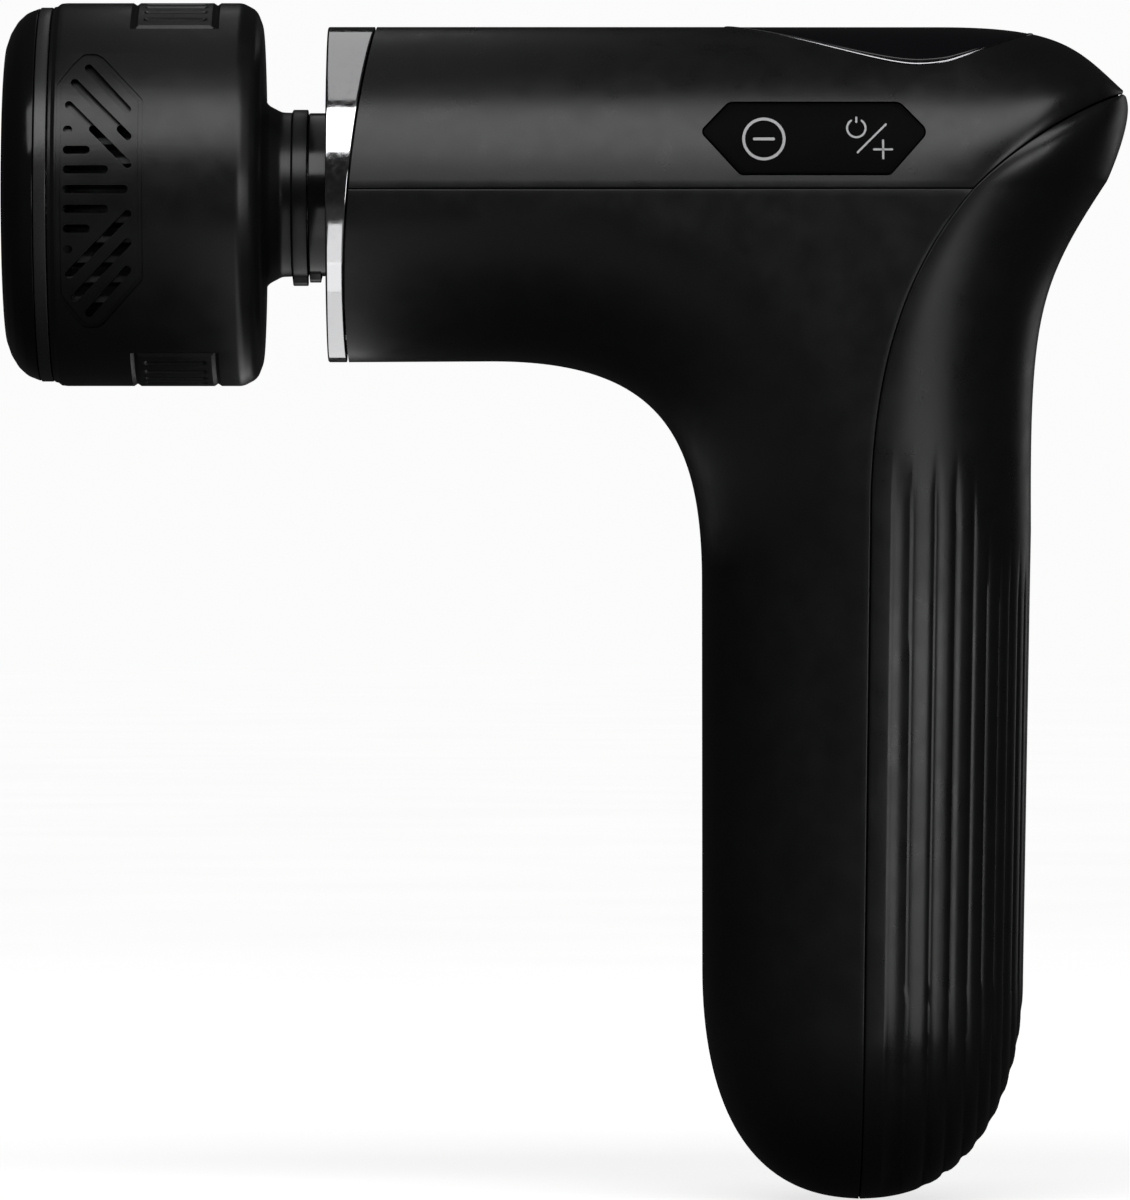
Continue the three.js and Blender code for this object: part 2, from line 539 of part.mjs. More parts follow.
// Fins on both sides of a middle web, each behind the bar between two vent rows.
const FINS = 16;
const FIN_PITCH = 2.6;
const FIN_T = 0.8;
const FIN_REACH = 22.2;        // radius that the fin corners reach
const fins = Array.from({ length: FINS }, (_, k) => {
  const z = VENT_Z + (k - (FINS - 1) / 2) * FIN_PITCH;
  const half = Math.sqrt(FIN_REACH ** 2 - (Math.abs(z) + FIN_T / 2) ** 2);
  return box(-107, -97, -half, half, z - FIN_T / 2, z + FIN_T / 2);
});
const web = box(-107, -97, -0.6, 0.6, -19, 19);
piece('heat_sink', join(turnedX(rod(-108.6, -106.6, 21), 32), web, ...fins), 'alu');

const spoke = (angle) => box(-88.2, -86.6, -0.9, 0.9, 5, 21.5).rotate([angle, 0, 0]);
piece('fan_frame', join(
  turnedX(tube(-95.5, -86.6, 20.9, 23.2), 28),
  turnedX(rod(-88.2, -86.6, 6.5), 20),
  ...[30, 150, 270].map(spoke),
), 'dark');
const BLADES = 7;
const blades = Array.from({ length: BLADES }, (_, k) => box(-3.4, 3.4, -0.55, 0.55, 6.5, 20)
  .rotate([0, 0, 35])
  .rotate([(k * 360) / BLADES, 0, 0])
  .translate([-91.9, 0, 0]));
piece('fan_rotor', join(turnedX(rod(-95.1, -88.7, 7.4), 24), ...blades), 'dark');
piece('head_board', turnedX(tube(-85.6, -84.2, 3, 21.5), 32), 'board');
piece('head_plug', turnedX([
  [-83.4, 0], [-83.4, 8], [-68.9, 8], [-68.9, 6.9], [-66.3, 6.9], [-66.3, 8],
  [-63.6, 8], [-63, 7.2], [-63, 0],
], 32), 'steel');
piece('plug_o_ring', turnedX(tube(-68.6, -66.6, 7.2, 8.1), 28), 'rubber');

// ---------------------------------------------------------------- screws
function screw(name, x, y, seat, length, head = 2) {
  const top = seat + GAP;
  const profile = [
    [top - length, 0], [top - length, 1], [top, 1], [top, head], [top + 1.4, head], [top + 1.4, 0],
  ];
  piece(name, cut(turnedZ(profile, 8), turnedZ(rod(top + 0.7, top + 2, 0.9), 6)), 'steel', [x, y, 0]);
}
let count = 0;
for (const x of FRAME_X) {
  for (const y of [-FRAME_Y, FRAME_Y]) {
    count += 1;
    screw(`frame_screw_${count}`, x, y, FRAME_Z + 2, 8, 1.9);
  }
}
screw('motor_screw_1', MOTOR_X, -MOTOR_Y, MOTOR_Z + 2, 6.5, 1.9);
screw('motor_screw_2', MOTOR_X, MOTOR_Y, MOTOR_Z + 2, 6.5, 1.9);
screw('board_screw_1', -49.5, 0, 14.8, 4.4);
screw('board_screw_2', -40.5, 0, 14.8, 4.4);

export default gun;
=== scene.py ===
"""Massage gun: the looks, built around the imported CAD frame.

Shapes are worked out in millimetres from the barrel axis (x along the barrel, y across, z up) and
become metres in the row frame when a mesh is made."""

import json
import math

import bmesh
import bpy
import numpy as np
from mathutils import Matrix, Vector
from mathutils.bvhtree import BVHTree


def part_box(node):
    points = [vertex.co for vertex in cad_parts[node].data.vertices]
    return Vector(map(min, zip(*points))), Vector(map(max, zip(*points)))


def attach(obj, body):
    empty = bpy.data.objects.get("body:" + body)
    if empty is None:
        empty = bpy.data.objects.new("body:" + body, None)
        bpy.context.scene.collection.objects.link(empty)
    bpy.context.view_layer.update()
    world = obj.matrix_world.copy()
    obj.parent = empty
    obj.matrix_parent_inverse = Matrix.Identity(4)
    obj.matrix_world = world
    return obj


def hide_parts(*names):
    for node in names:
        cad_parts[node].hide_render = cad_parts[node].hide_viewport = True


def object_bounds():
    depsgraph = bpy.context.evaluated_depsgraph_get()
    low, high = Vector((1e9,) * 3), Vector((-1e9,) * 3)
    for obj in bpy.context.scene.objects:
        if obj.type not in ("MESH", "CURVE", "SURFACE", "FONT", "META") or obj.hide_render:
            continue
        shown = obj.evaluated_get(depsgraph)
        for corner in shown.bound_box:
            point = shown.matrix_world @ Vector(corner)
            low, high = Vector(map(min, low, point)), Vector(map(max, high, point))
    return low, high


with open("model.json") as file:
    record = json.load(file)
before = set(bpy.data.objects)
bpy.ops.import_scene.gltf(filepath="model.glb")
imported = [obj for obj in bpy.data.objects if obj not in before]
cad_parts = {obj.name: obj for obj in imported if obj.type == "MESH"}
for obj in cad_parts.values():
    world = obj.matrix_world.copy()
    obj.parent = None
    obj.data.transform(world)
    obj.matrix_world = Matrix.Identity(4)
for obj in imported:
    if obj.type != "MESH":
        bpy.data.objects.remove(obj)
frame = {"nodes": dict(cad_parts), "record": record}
CAD_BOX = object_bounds()
NODES = frame["nodes"]

MM = 0.001
ring_lo, ring_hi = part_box("nose_ring")
AXIS_Z = (ring_lo.z + ring_hi.z) / 2
BARREL_R = (ring_hi.z - ring_lo.z) / 2 / MM
RING_FRONT = ring_lo.x / MM
head_lo, head_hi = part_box("head_housing")
HEAD_R = (head_hi.z - head_lo.z) / 2 / MM
HEAD_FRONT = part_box("contact_plate")[0].x / MM
FOOT_Z = (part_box("front_housing")[0].z - AXIS_Z) / MM
GRIP_HALF_W = 20.0
SEAM_GAP = 0.055               # half of the gap between two mouldings
WALL = 1.8
MERGE = 2e-7                   # metres within which a new mesh's points are one
MERGE_CUT = 3e-6               # and after a boolean cut


# ------------------------------------------------------------------ materials
def material(name, **values):
    m = bpy.data.materials.new(name)
    m.use_nodes = True
    shader = m.node_tree.nodes["Principled BSDF"]
    for key, value in values.items():
        shader.inputs[key.replace("_", " ")].default_value = value
    return m


class Nodes:
    """Short calls for building a node tree."""

    def __init__(self, mat):
        self.tree = mat.node_tree
        self.shader = self.tree.nodes["Principled BSDF"]
        coords = self.tree.nodes.new("ShaderNodeTexCoord")
        self.place = coords.outputs["Object"]

    def add(self, kind, **settings):
        node = self.tree.nodes.new(kind)
        for key, value in settings.items():
            setattr(node, key, value)
        return node

    def link(self, a, b):
        self.tree.links.new(a, b)

    def stretch(self, scale):
        node = self.add("ShaderNodeMapping")
        node.inputs["Scale"].default_value = scale
        self.link(self.place, node.inputs["Vector"])
        return node.outputs["Vector"]

    def noise(self, scale, detail=3.0, rough=0.5, at=None):
        node = self.add("ShaderNodeTexNoise")
        node.inputs["Scale"].default_value = scale
        node.inputs["Detail"].default_value = detail
        node.inputs["Roughness"].default_value = rough
        self.link(at or self.place, node.inputs["Vector"])
        return node.outputs["Fac"]

    def spread(self, value, low, high, from_low=0.3, from_high=0.7):
        node = self.add("ShaderNodeMapRange")
        node.inputs["From Min"].default_value = from_low
        node.inputs["From Max"].default_value = from_high
        node.inputs["To Min"].default_value = low
        node.inputs["To Max"].default_value = high
        self.link(value, node.inputs["Value"])
        return node.outputs["Result"]

    def tint(self, value, low, high):
        node = self.add("ShaderNodeMix", data_type="RGBA")
        node.inputs[6].default_value = (*low, 1)
        node.inputs[7].default_value = (*high, 1)
        self.link(value, node.inputs[0])
        self.link(node.outputs[2], self.shader.inputs["Base Color"])

    def bump(self, height, strength, distance, under=None):
        node = self.add("ShaderNodeBump")
        node.inputs["Strength"].default_value = strength
        node.inputs["Distance"].default_value = distance
        self.link(height, node.inputs["Height"])
        if under:
            self.link(under, node.inputs["Normal"])
        self.link(node.outputs["Normal"], self.shader.inputs["Normal"])
        return node.outputs["Normal"]

    def roughness(self, value, low, high):
        self.link(self.spread(value, low, high), self.shader.inputs["Roughness"])


def plastic(name, dark, light, rough, grain=0.12, cell=5200.0, level=0.5):
    """Moulded plastic: spark-eroded grain, slight blotches in colour and gloss."""
    m = material(name, Specular_IOR_Level=level)
    n = Nodes(m)
    n.tint(n.spread(n.noise(60, 4), 0, 1), dark, light)
    n.roughness(n.noise(240, 4, 0.6), rough - 0.04, rough + 0.05)
    fine = n.bump(n.noise(cell, 2, 0.6), grain, 0.00006)
    n.bump(n.noise(140, 2), 0.04, 0.0004, fine)
    return m


def metal(name, dark, light, rough, brushed=(1, 1, 1), grain=0.08):
    """Metal with a fine grain, drawn out along an axis where brushed is below 1."""
    m = material(name, Metallic=1.0)
    n = Nodes(m)
    lines = n.noise(900, 4, 0.65, n.stretch(brushed))
    n.tint(n.spread(lines, 0, 1), dark, light)
    n.roughness(lines, rough - 0.05, rough + 0.08)
    n.bump(lines, grain, 0.00005)
    return m


SHELL = plastic("shell_plastic", (0.0052, 0.0052, 0.0054), (0.0066, 0.0066, 0.0068), rough=0.30, level=0.40)
GRIP = plastic("grip_plastic", (0.0058, 0.0058, 0.0060), (0.0072, 0.0072, 0.0074),
               rough=0.33, grain=0.16, level=0.34)
HEAD = plastic("head_plastic", (0.0052, 0.0052, 0.0055), (0.0068, 0.0068, 0.0072), rough=0.32, level=0.40)
PAD = plastic("pad_plastic", (0.005, 0.005, 0.0053), (0.0065, 0.0065, 0.0068),
              rough=0.38, grain=0.2, level=0.40)
GLOSS = plastic("gloss_black", (0.0048, 0.0048, 0.0052), (0.0055, 0.0055, 0.0060),
                rough=0.12, grain=0.01, cell=900.0, level=0.30)
KEY = plastic("key_black", (0.0016, 0.0016, 0.0019), (0.0020, 0.0020, 0.0024),
              rough=0.42, grain=0.06, cell=4200.0, level=0.02)
TRIM = plastic("trim_grey", (0.020, 0.020, 0.021), (0.026, 0.026, 0.027), rough=0.28, grain=0.06)
DARK = plastic("dark_nylon", (0.006, 0.006, 0.0064), (0.009, 0.009, 0.0094),
               rough=0.38, grain=0.15, level=0.4)
COLLAR = plastic("collar_gloss", (0.0045, 0.0045, 0.0048), (0.0055, 0.0055, 0.0058),
                 rough=0.16, grain=0.02, cell=1800.0, level=0.40)
RUBBER = plastic("black_rubber", (0.006, 0.006, 0.006), (0.009, 0.009, 0.009),
                 rough=0.75, grain=0.3, cell=3000.0, level=0.3)
LENS = plastic("smoked_lens", (0.0040, 0.0040, 0.0048), (0.0050, 0.0050, 0.0058),
               rough=0.06, grain=0.005, cell=700.0, level=0.45)
PRINT = plastic("mark_print", (0.40, 0.40, 0.41), (0.44, 0.44, 0.45), rough=0.45, grain=0.1)
CHROME = metal("chrome_plate", (0.66, 0.66, 0.67), (0.70, 0.70, 0.71), rough=0.08, grain=0.01)
STEEL = metal("turned_steel", (0.50, 0.51, 0.53), (0.60, 0.61, 0.63), rough=0.28, brushed=(0.1, 1, 1))
ALLOY = metal("cast_alloy", (0.58, 0.59, 0.60), (0.68, 0.69, 0.70),
              rough=0.34, brushed=(1, 1, 0.2), grain=0.15)
SATIN = metal("satin_chrome", (0.26, 0.26, 0.27), (0.32, 0.32, 0.33), rough=0.12, grain=0.01)
BRONZE = metal("bronze", (0.42, 0.26, 0.11), (0.55, 0.36, 0.17), rough=0.35, brushed=(0.1, 1, 1))
CERAMIC = plastic("ceramic", (0.70, 0.70, 0.68), (0.80, 0.80, 0.78), rough=0.5, grain=0.1)
CELL = plastic("cell_sleeve", (0.03, 0.14, 0.27), (0.05, 0.19, 0.34), rough=0.3, grain=0.05)


def board_material():
    m = material("circuit_board")
    n = Nodes(m)
    tracks = n.add("ShaderNodeTexBrick")
    tracks.inputs["Scale"].default_value = 420
    tracks.inputs["Mortar Size"].default_value = 0.03
    tracks.inputs["Color1"].default_value = (0.012, 0.085, 0.045, 1)
    tracks.inputs["Color2"].default_value = (0.016, 0.110, 0.055, 1)
    tracks.inputs["Mortar"].default_value = (0.05, 0.20, 0.10, 1)
    n.link(n.place, tracks.inputs["Vector"])
    n.link(tracks.outputs["Color"], n.shader.inputs["Base Color"])
    n.roughness(n.noise(500), 0.35, 0.5)
    n.bump(tracks.outputs["Fac"], 0.15, 0.00005)
    return m


BOARD = board_material()


# ------------------------------------------------------------------ mesh making
def make(name, verts, faces, body, look, nodes=(), sharp=32.0):
    """A mesh from millimetre points: welded, facing out, smooth with sharp edges, riding on a body."""
    v = np.asarray(verts, float) * MM
    v[:, 2] += AXIS_Z
    mesh = bpy.data.meshes.new(name)
    mesh.from_pydata(v.tolist(), [], faces)
    bm = bmesh.new()
    bm.from_mesh(mesh)
    bmesh.ops.remove_doubles(bm, verts=bm.verts, dist=MERGE)
    bmesh.ops.dissolve_degenerate(bm, edges=bm.edges, dist=1e-7)
    bmesh.ops.recalc_face_normals(bm, faces=bm.faces)
    bm.to_mesh(mesh)
    bm.free()
    obj = bpy.data.objects.new(name, mesh)
    bpy.context.scene.collection.objects.link(obj)
    finish_piece(obj, look, sharp)
    if body:
        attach(obj, body)
        if nodes:
            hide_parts(*nodes)
    return obj


def cutter(name, verts, faces):
    """A closed tool for cut_with. It rides on nothing, because the cut removes it."""
    return make(name, verts, faces, None, SHELL)


def finish_piece(obj, look, sharp):
    obj.data.materials.clear()
    obj.data.materials.append(look)
    obj.data.shade_smooth()
    obj.data.set_sharp_from_angle(angle=math.radians(sharp))


def grid_faces(rows, cols, closed_cols=False, closed_rows=False, first=0):
    """Four-sided faces over a grid of points stored row by row from the number first."""
    faces = []
    for i in range(rows if closed_rows else rows - 1):
        for j in range(cols if closed_cols else cols - 1):
            a, b = i * cols + j, i * cols + (j + 1) % cols
            c, d = ((i + 1) % rows) * cols + (j + 1) % cols, ((i + 1) % rows) * cols + j
            faces.append((first + a, first + b, first + c, first + d))
    return faces


def cut_with(obj, cutters, sharp, bevel=0.0):
    """Booleans away closed cutter objects, which are then removed."""
    for c in cutters:
        mod = obj.modifiers.new("cut", "BOOLEAN")
        mod.operation, mod.solver, mod.object = "DIFFERENCE", "EXACT", c
    if bevel:
        mod = obj.modifiers.new("edge", "BEVEL")
        mod.width, mod.segments, mod.limit_method = bevel * MM, 2, "ANGLE"
        mod.angle_limit = math.radians(50)
        mod.use_clamp_overlap = True
    bpy.context.view_layer.update()
    done = bpy.data.meshes.new_from_object(obj.evaluated_get(bpy.context.evaluated_depsgraph_get()))
    bm = bmesh.new()
    bm.from_mesh(done)
    bmesh.ops.remove_doubles(bm, verts=bm.verts, dist=MERGE_CUT)
    bmesh.ops.dissolve_degenerate(bm, edges=bm.edges, dist=1e-6)
    bm.to_mesh(done)
    bm.free()
    look = obj.data.materials[0]
    obj.modifiers.clear()
    obj.data = done
    for c in cutters:
        bpy.data.objects.remove(c)
    finish_piece(obj, look, sharp)


def rounded(profile, radius, steps=4):
    """A closed outline with every corner turned into a small arc.

    A point's third number is the radius of its own corner."""
    p = [np.array(q[:2], float) for q in profile]
    radii = [q[2] if len(q) > 2 else radius for q in profile]
    out = []
    for i, q in enumerate(p):
        a, b = p[i - 1] - q, p[(i + 1) % len(p)] - q
        la, lb = np.linalg.norm(a), np.linalg.norm(b)
        a, b = a / la, b / lb
        half = math.acos(max(-1, min(1, float(a @ b)))) / 2
        r = radii[i]
        reach = min(r / math.tan(half), 0.45 * la, 0.45 * lb) if half > 0.05 else 0
        if r <= 0 or half > 1.50 or reach < 1e-3:
            out.append(q)
            continue
        r = reach * math.tan(half)
        centre = q + (a + b) / np.linalg.norm(a + b) * (r / math.sin(half))
        s, e = q + a * reach - centre, q + b * reach - centre
        turn = math.atan2(s[0] * e[1] - s[1] * e[0], float(s @ e))
        for k in range(steps + 1):
            t = turn * k / steps
            c, d = math.cos(t), math.sin(t)
            out.append(centre + np.array([s[0] * c - s[1] * d, s[0] * d + s[1] * c]))
    return np.array(out)


def lathe(name, profile, body, look, nodes=(), radius=0.2, segments=160, steps=4, sharp=32.0):
    """Turned about the barrel axis. The profile is closed and listed as (x, r[, corner radius])."""
    p = rounded(profile, radius, steps)
    angles = np.linspace(0, 2 * math.pi, segments, endpoint=False)
    verts = [(x, r * math.cos(a), r * math.sin(a)) for a in angles for x, r in p]
    return make(name, verts, grid_faces(segments, len(p), True, True), body, look, nodes, sharp)


# ------------------------------------------------------------------ outlines seen from the side
def bezier(p, t):
    p, t = np.asarray(p, float), np.asarray(t, float)[:, None]
    return (1 - t) ** 3 * p[0] + 3 * (1 - t) ** 2 * t * p[1] + 3 * (1 - t) * t * t * p[2] + t**3 * p[3]


def straight(a, b, t):
    t = np.asarray(t, float)[:, None]
    return (1 - t) * np.array(a, float) + t * np.array(b, float)


SEAM_TIP = (13.8, 0)
FOOT = (-0.8, FOOT_Z)
TOP_BACK = [(10, BARREL_R), (26, BARREL_R), (28.4, 19.9), (34.5, 14.0)]
BACK_UPPER = [(35.1, 12.8), (36.3, 10.2), (32.7, 2.0), (32.5, 1.7)]
BACK_LOWER = [(32.5, 1.7), (23.2, -12.35), (22.2, -16.3), (22.35, -45)]
BACK_FOOT = [(21.3, -105), (21.3, -120.3), (15.0, FOOT_Z), (0, FOOT_Z)]
UNDER_CORNER = [(-50, -22.4), (-27.8, -22.4), (-21.85, -32.0), (-21.85, -52)]
FRONT_FOOT = [(-21.8, -104), (-21.8, -120.2), (-16.8, FOOT_Z), FOOT]
SEAM_UPPER = [(34.7, 13.4), (27.0, 10.5), (19.2, 5.6), SEAM_TIP]
SEAM_LOWER = [SEAM_TIP, (6.8, -8.2), (0.1, -20.0), (0.3, -45)]

SEAM = np.vstack([bezier(SEAM_LOWER, np.linspace(0, 1, 60)), [FOOT]])[::-1]    # from the foot up


def seam_x(z):
    """Where the seam between front and rear lies at a level below the barrel axis."""
    return np.interp(z, SEAM[:, 1], SEAM[:, 0])


def smooth(t):
    """A soft step from 0 to 1."""
    t = np.clip(t, 0, 1)
    return t * t * (3 - 2 * t)


def round_end(t):
    """A quarter circle from 1 down to 0."""
    return np.sqrt(np.maximum(0, 1 - np.clip(t, 0, 1) ** 2))


GRIP_FROM, GRIP_BLEND = -10, 50          # the round barrel becomes the narrower grip
CREST_FROM, CREST_RUN = 14, 21.4         # both sides close towards the crest at the back
FOOT_FROM, FOOT_RUN = -112, 22.85        # and towards the foot


def half_width(x, z):
    """How far the body reaches to each side at its widest."""
    base = BARREL_R + (GRIP_HALF_W - BARREL_R) * smooth((GRIP_FROM - z) / GRIP_BLEND)
    return base * round_end((x - CREST_FROM) / CREST_RUN) * round_end((FOOT_FROM - z) / FOOT_RUN)


NOSE_REAR, NOSE_LOW, NOSE_CURVE = -69.6, -14, 330
RING_GAP, RING_SETBACK = 0.15, 0.12      # the body and the ring stay this far off that edge


def nose_x(z):
    """The slanted rear edge of the nose ring, furthest forward at the level NOSE_LOW."""
    return NOSE_REAR + (z - NOSE_LOW) ** 2 / NOSE_CURVE


def rungs(*parts):
    """Silhouette points and the seam points they are ruled to."""
    return np.vstack([a for a, _ in parts]), np.vstack([b for _, b in parts])


def shares(n, first=0.0, last=1.0):
    """n equal steps from first to last, without first itself."""
    return np.linspace(first, last, n + 1)[1:]


def across_to_seam(points):
    """Level rungs: the points, and the seam's points at the same levels."""
    return points, np.column_stack([seam_x(points[:, 1]), points[:, 1]])


def foot_part(curve, n):
    """Level rungs down a foot curve, closer together towards the bottom."""
    t = 1 - (1 - shares(n)) ** 1.5
    return across_to_seam(bezier(curve, t * 0.999))


NOSE_X, TURN_X, BEND_X = -70, -5, -50    # where the top's and the underside's stretches begin
SPLIT = 0.55                             # share of the under corner that is ruled to the straight seam
GRIP_FRONT = [(-21.85, -52), (-21.8, -104)]
GRIP_BACK = [(22.35, -45), (21.3, -105)]

t_run = np.linspace(0, 1, 40)
t_mid = shares(12)
t_back = shares(40)
TOP = rungs(
    (straight((NOSE_X, BARREL_R), (TURN_X, BARREL_R), t_run), straight((NOSE_X, 0), (TURN_X, 0), t_run)),
    (straight((TURN_X, BARREL_R), (10, BARREL_R), t_mid), straight((TURN_X, 0), SEAM_TIP, t_mid)),
    (bezier(TOP_BACK, t_back), bezier(SEAM_UPPER, 1 - t_back * 0.985)),
)
t_under = np.linspace(0, 1, 16)
t_turn = shares(40, 0, SPLIT)
t_down = shares(40, SPLIT, 1)
t_grip = shares(39)
FRONT = rungs(
    (straight((NOSE_X, -BARREL_R), UNDER_CORNER[0], t_under),
     straight((NOSE_X, 0), (BEND_X, 0), t_under)),
    (bezier(UNDER_CORNER, t_turn), straight((BEND_X, 0), SEAM_TIP, t_turn / SPLIT)),
    (bezier(UNDER_CORNER, t_down), bezier(SEAM_LOWER, (t_down - SPLIT) / (1 - SPLIT))),
    across_to_seam(straight(*GRIP_FRONT, t_grip)),
    foot_part(FRONT_FOOT, 44),
)
t_up = np.linspace(0, 1, 41)
t_low = shares(40)
t_long = shares(24) ** 1.3
BACK = rungs(
    (bezier(BACK_UPPER, t_up), bezier(SEAM_UPPER, 0.02 + 0.98 * t_up)),
    (bezier(BACK_LOWER, t_low), bezier(SEAM_LOWER, t_low)),
    across_to_seam(straight(*GRIP_BACK, t_long)),
    foot_part(BACK_FOOT, 60),
)


# ------------------------------------------------------------------ shells
COLUMN_SCALE = 1.0125          # a grip rung's length, over the part that its columns divide
LIP = 0.22                     # size of the rolled edge along the seam
EDGE_STEPS = ((0.38, 0.08), (0.76, 0.35), (1.0, 1.0))    # the edge's shares along and in


def shell_grid(rows, rings, corner=False, dent=None, lines=()):
    """Half of one moulding: its outer points, how far each is set in, and the wall at each rung.

    Every rung has the same columns, from the outline to the seam. A column is put on each of the lines,
    given as shares of the way from the seam to the outline. With corner, the width at a point above the
    foot follows its distance from the outline instead of its place along the rung."""
    rim, mid = rows
    chord = mid - rim
    length = np.linalg.norm(chord, axis=1)
    way = chord / np.maximum(length, 1e-6)[:, None]
    gap = np.minimum(SEAM_GAP, 0.25 * length)
    lip = np.minimum(LIP, 0.2 * length)
    end = length - gap
    angle = np.linspace(0, math.pi / 2, rings + 1)
    for s in lines:
        exact = math.acos(min(1, max(0, 1 - COLUMN_SCALE * (1 - s))))
        angle[np.abs(angle - exact).argmin()] = exact
    cols, drops = [], []
    for a in angle:
        cols.append((1 - math.cos(a)) * (end - lip))
        drops.append(np.zeros_like(end))
    for share, drop in EDGE_STEPS:
        cols.append(end - lip + share * lip)
        drops.append(drop * lip)
    thick = np.minimum(WALL, 0.3 * length)
    cols.append(end.copy())
    drops.append(thick)
    run = np.array(cols).T
    drop = np.array(drops).T
    p = rim[:, None, :] + way[:, None, :] * run[:, :, None]
    share = run / length[:, None]
    if corner:
        near = np.empty(run.shape)
        for i in range(run.shape[0]):
            near[i] = np.sqrt(((p[i][:, None, :] - rim[None]) ** 2).sum(-1)).min(1)
        long = np.minimum(length, BARREL_R)[:, None]
        by_depth = np.clip(near / long, 0, 1)
        above_foot = smooth((p[:, :, 1] - GRIP_FRONT[1][1]) / 20)
        share = by_depth * above_foot + share * (1 - above_foot)
    full = half_width(mid[:, 0][:, None], p[:, :, 1])
    y = full * round_end(1 - share)
    if dent is not None:
        y = y + dent(p[:, :, 0], p[:, :, 1])
    one = np.stack([p[:, :, 0], y, p[:, :, 1]], -1)
    return one, drop, thick


def assemble(one, drop, thick, rings):
    """Mirrors the half surface, sets the rolled edges in and adds the inner surface."""
    other = one[:, :0:-1].copy()
    other[:, :, 1] *= -1
    full = np.concatenate([other, one], 1)
    drops = np.concatenate([drop[:, :0:-1], drop], 1)
    main = 2 * rings + 1
    skip = drop.shape[1] - 1 - rings
    body = full[:, skip : skip + main]
    du = np.gradient(body, axis=1)
    dv = np.gradient(body, axis=0)
    n = np.cross(du, dv)
    n /= np.maximum(np.linalg.norm(n, axis=2), 1e-9)[:, :, None]
    middle = n[:, rings]
    outward = body[:, rings] - body.mean(axis=1)
    flip = np.sign((middle * outward).sum(1).mean())
    n *= flip
    side = np.zeros(full.shape)
    side[:, skip : skip + main] = n
    for k in range(skip):
        side[:, k] = n[:, 0]
        side[:, skip + main + k] = n[:, -1]
    outer = full - side * drops[:, :, None]
    inner = (body - n * thick[:, None, None])[:, ::-1]
    ring = np.concatenate([outer, inner[:, 1:-1]], 1)
    return outer, ring, n, body


def cap(outer_cols, rings, first):
    """Closes the rung whose points start at first, between the outer and the inner surface."""
    skip = (outer_cols - (2 * rings + 1)) // 2

    def inner(k):
        return first + outer_cols + (2 * rings - 1) - k

    def outer(k):
        return first + skip + k

    faces = [(outer(k), outer(k + 1), inner(k + 1), inner(k)) for k in range(1, 2 * rings - 1)]
    near_edge = [first + c for c in range(skip + 2)]
    far_edge = [first + c for c in range(outer_cols - skip - 2, outer_cols)]
    faces.append(tuple(near_edge + [inner(1)]))
    faces.append(tuple(far_edge + [inner(2 * rings - 1)]))
    return faces


def slant_nose(points):
    """Draws the barrel's front end back to the slanted edge of the nose ring."""
    x = points[:, :, 0]
    edge = nose_x(points[:, :, 2]) + RING_GAP
    share = np.clip((x - x[:1]) / (BEND_X - x[:1]), 0, 1)
    points[:, :, 0] = np.where(x < BEND_X, edge + share * (BEND_X - edge), x)


def shell(name, rows, rings, look, node, corner=False, dent=None, relief=None, front=False, lines=()):
    """One moulding of the housing. It returns the object and its outer points."""
    one, drop, thick = shell_grid(rows, rings, corner, dent, lines)
    if front:
        slant_nose(one)
    outer, ring, n, flat = assemble(one, drop, thick, rings)
    if relief is not None:
        skip = (outer.shape[1] - flat.shape[1]) // 2
        depth = relief(flat, rows)
        ring[:, skip : skip + flat.shape[1]] -= n * depth[:, :, None]
    rows_n, cols_n = ring.shape[:2]
    faces = grid_faces(rows_n, cols_n, closed_cols=True)
    faces += cap(outer.shape[1], rings, 0)
    faces += cap(outer.shape[1], rings, (rows_n - 1) * cols_n)
    obj = make(name, ring.reshape(-1, 3), faces, "housing", look, (node,), 40)
    return obj, outer


LID_LEAN = 0.95


def lid_slope(x, z):
    """The top cover leans in above the parting line, so light breaks there."""
    high = np.clip(z / BARREL_R, 0, 1)
    off_seam = 1 - np.exp(-z / 5)
    before_crest = 1 - smooth((x - 5) / 12)
    return -LID_LEAN * off_seam * (1 - high * high) * round_end(high) * before_crest


# Where the grooves lie, as shares of the way from the seam to the back edge.
FLUTES = np.array([0.122, 0.247, 0.393, 0.520, 0.632, 0.722, 0.800, 0.868, 0.922, 0.962, 0.988, 1.0])
SCOOP = 0.26                   # depth of the shallow scoop in front of the first rib
RIB_DROP = 1.7                 # mm of groove depth for each radian that a rib spans
BEGIN_X, BEGIN_Z = [3, 13.5, 16, 20], [-34, -34, -43, -47]  # the level where the grooves begin, along x


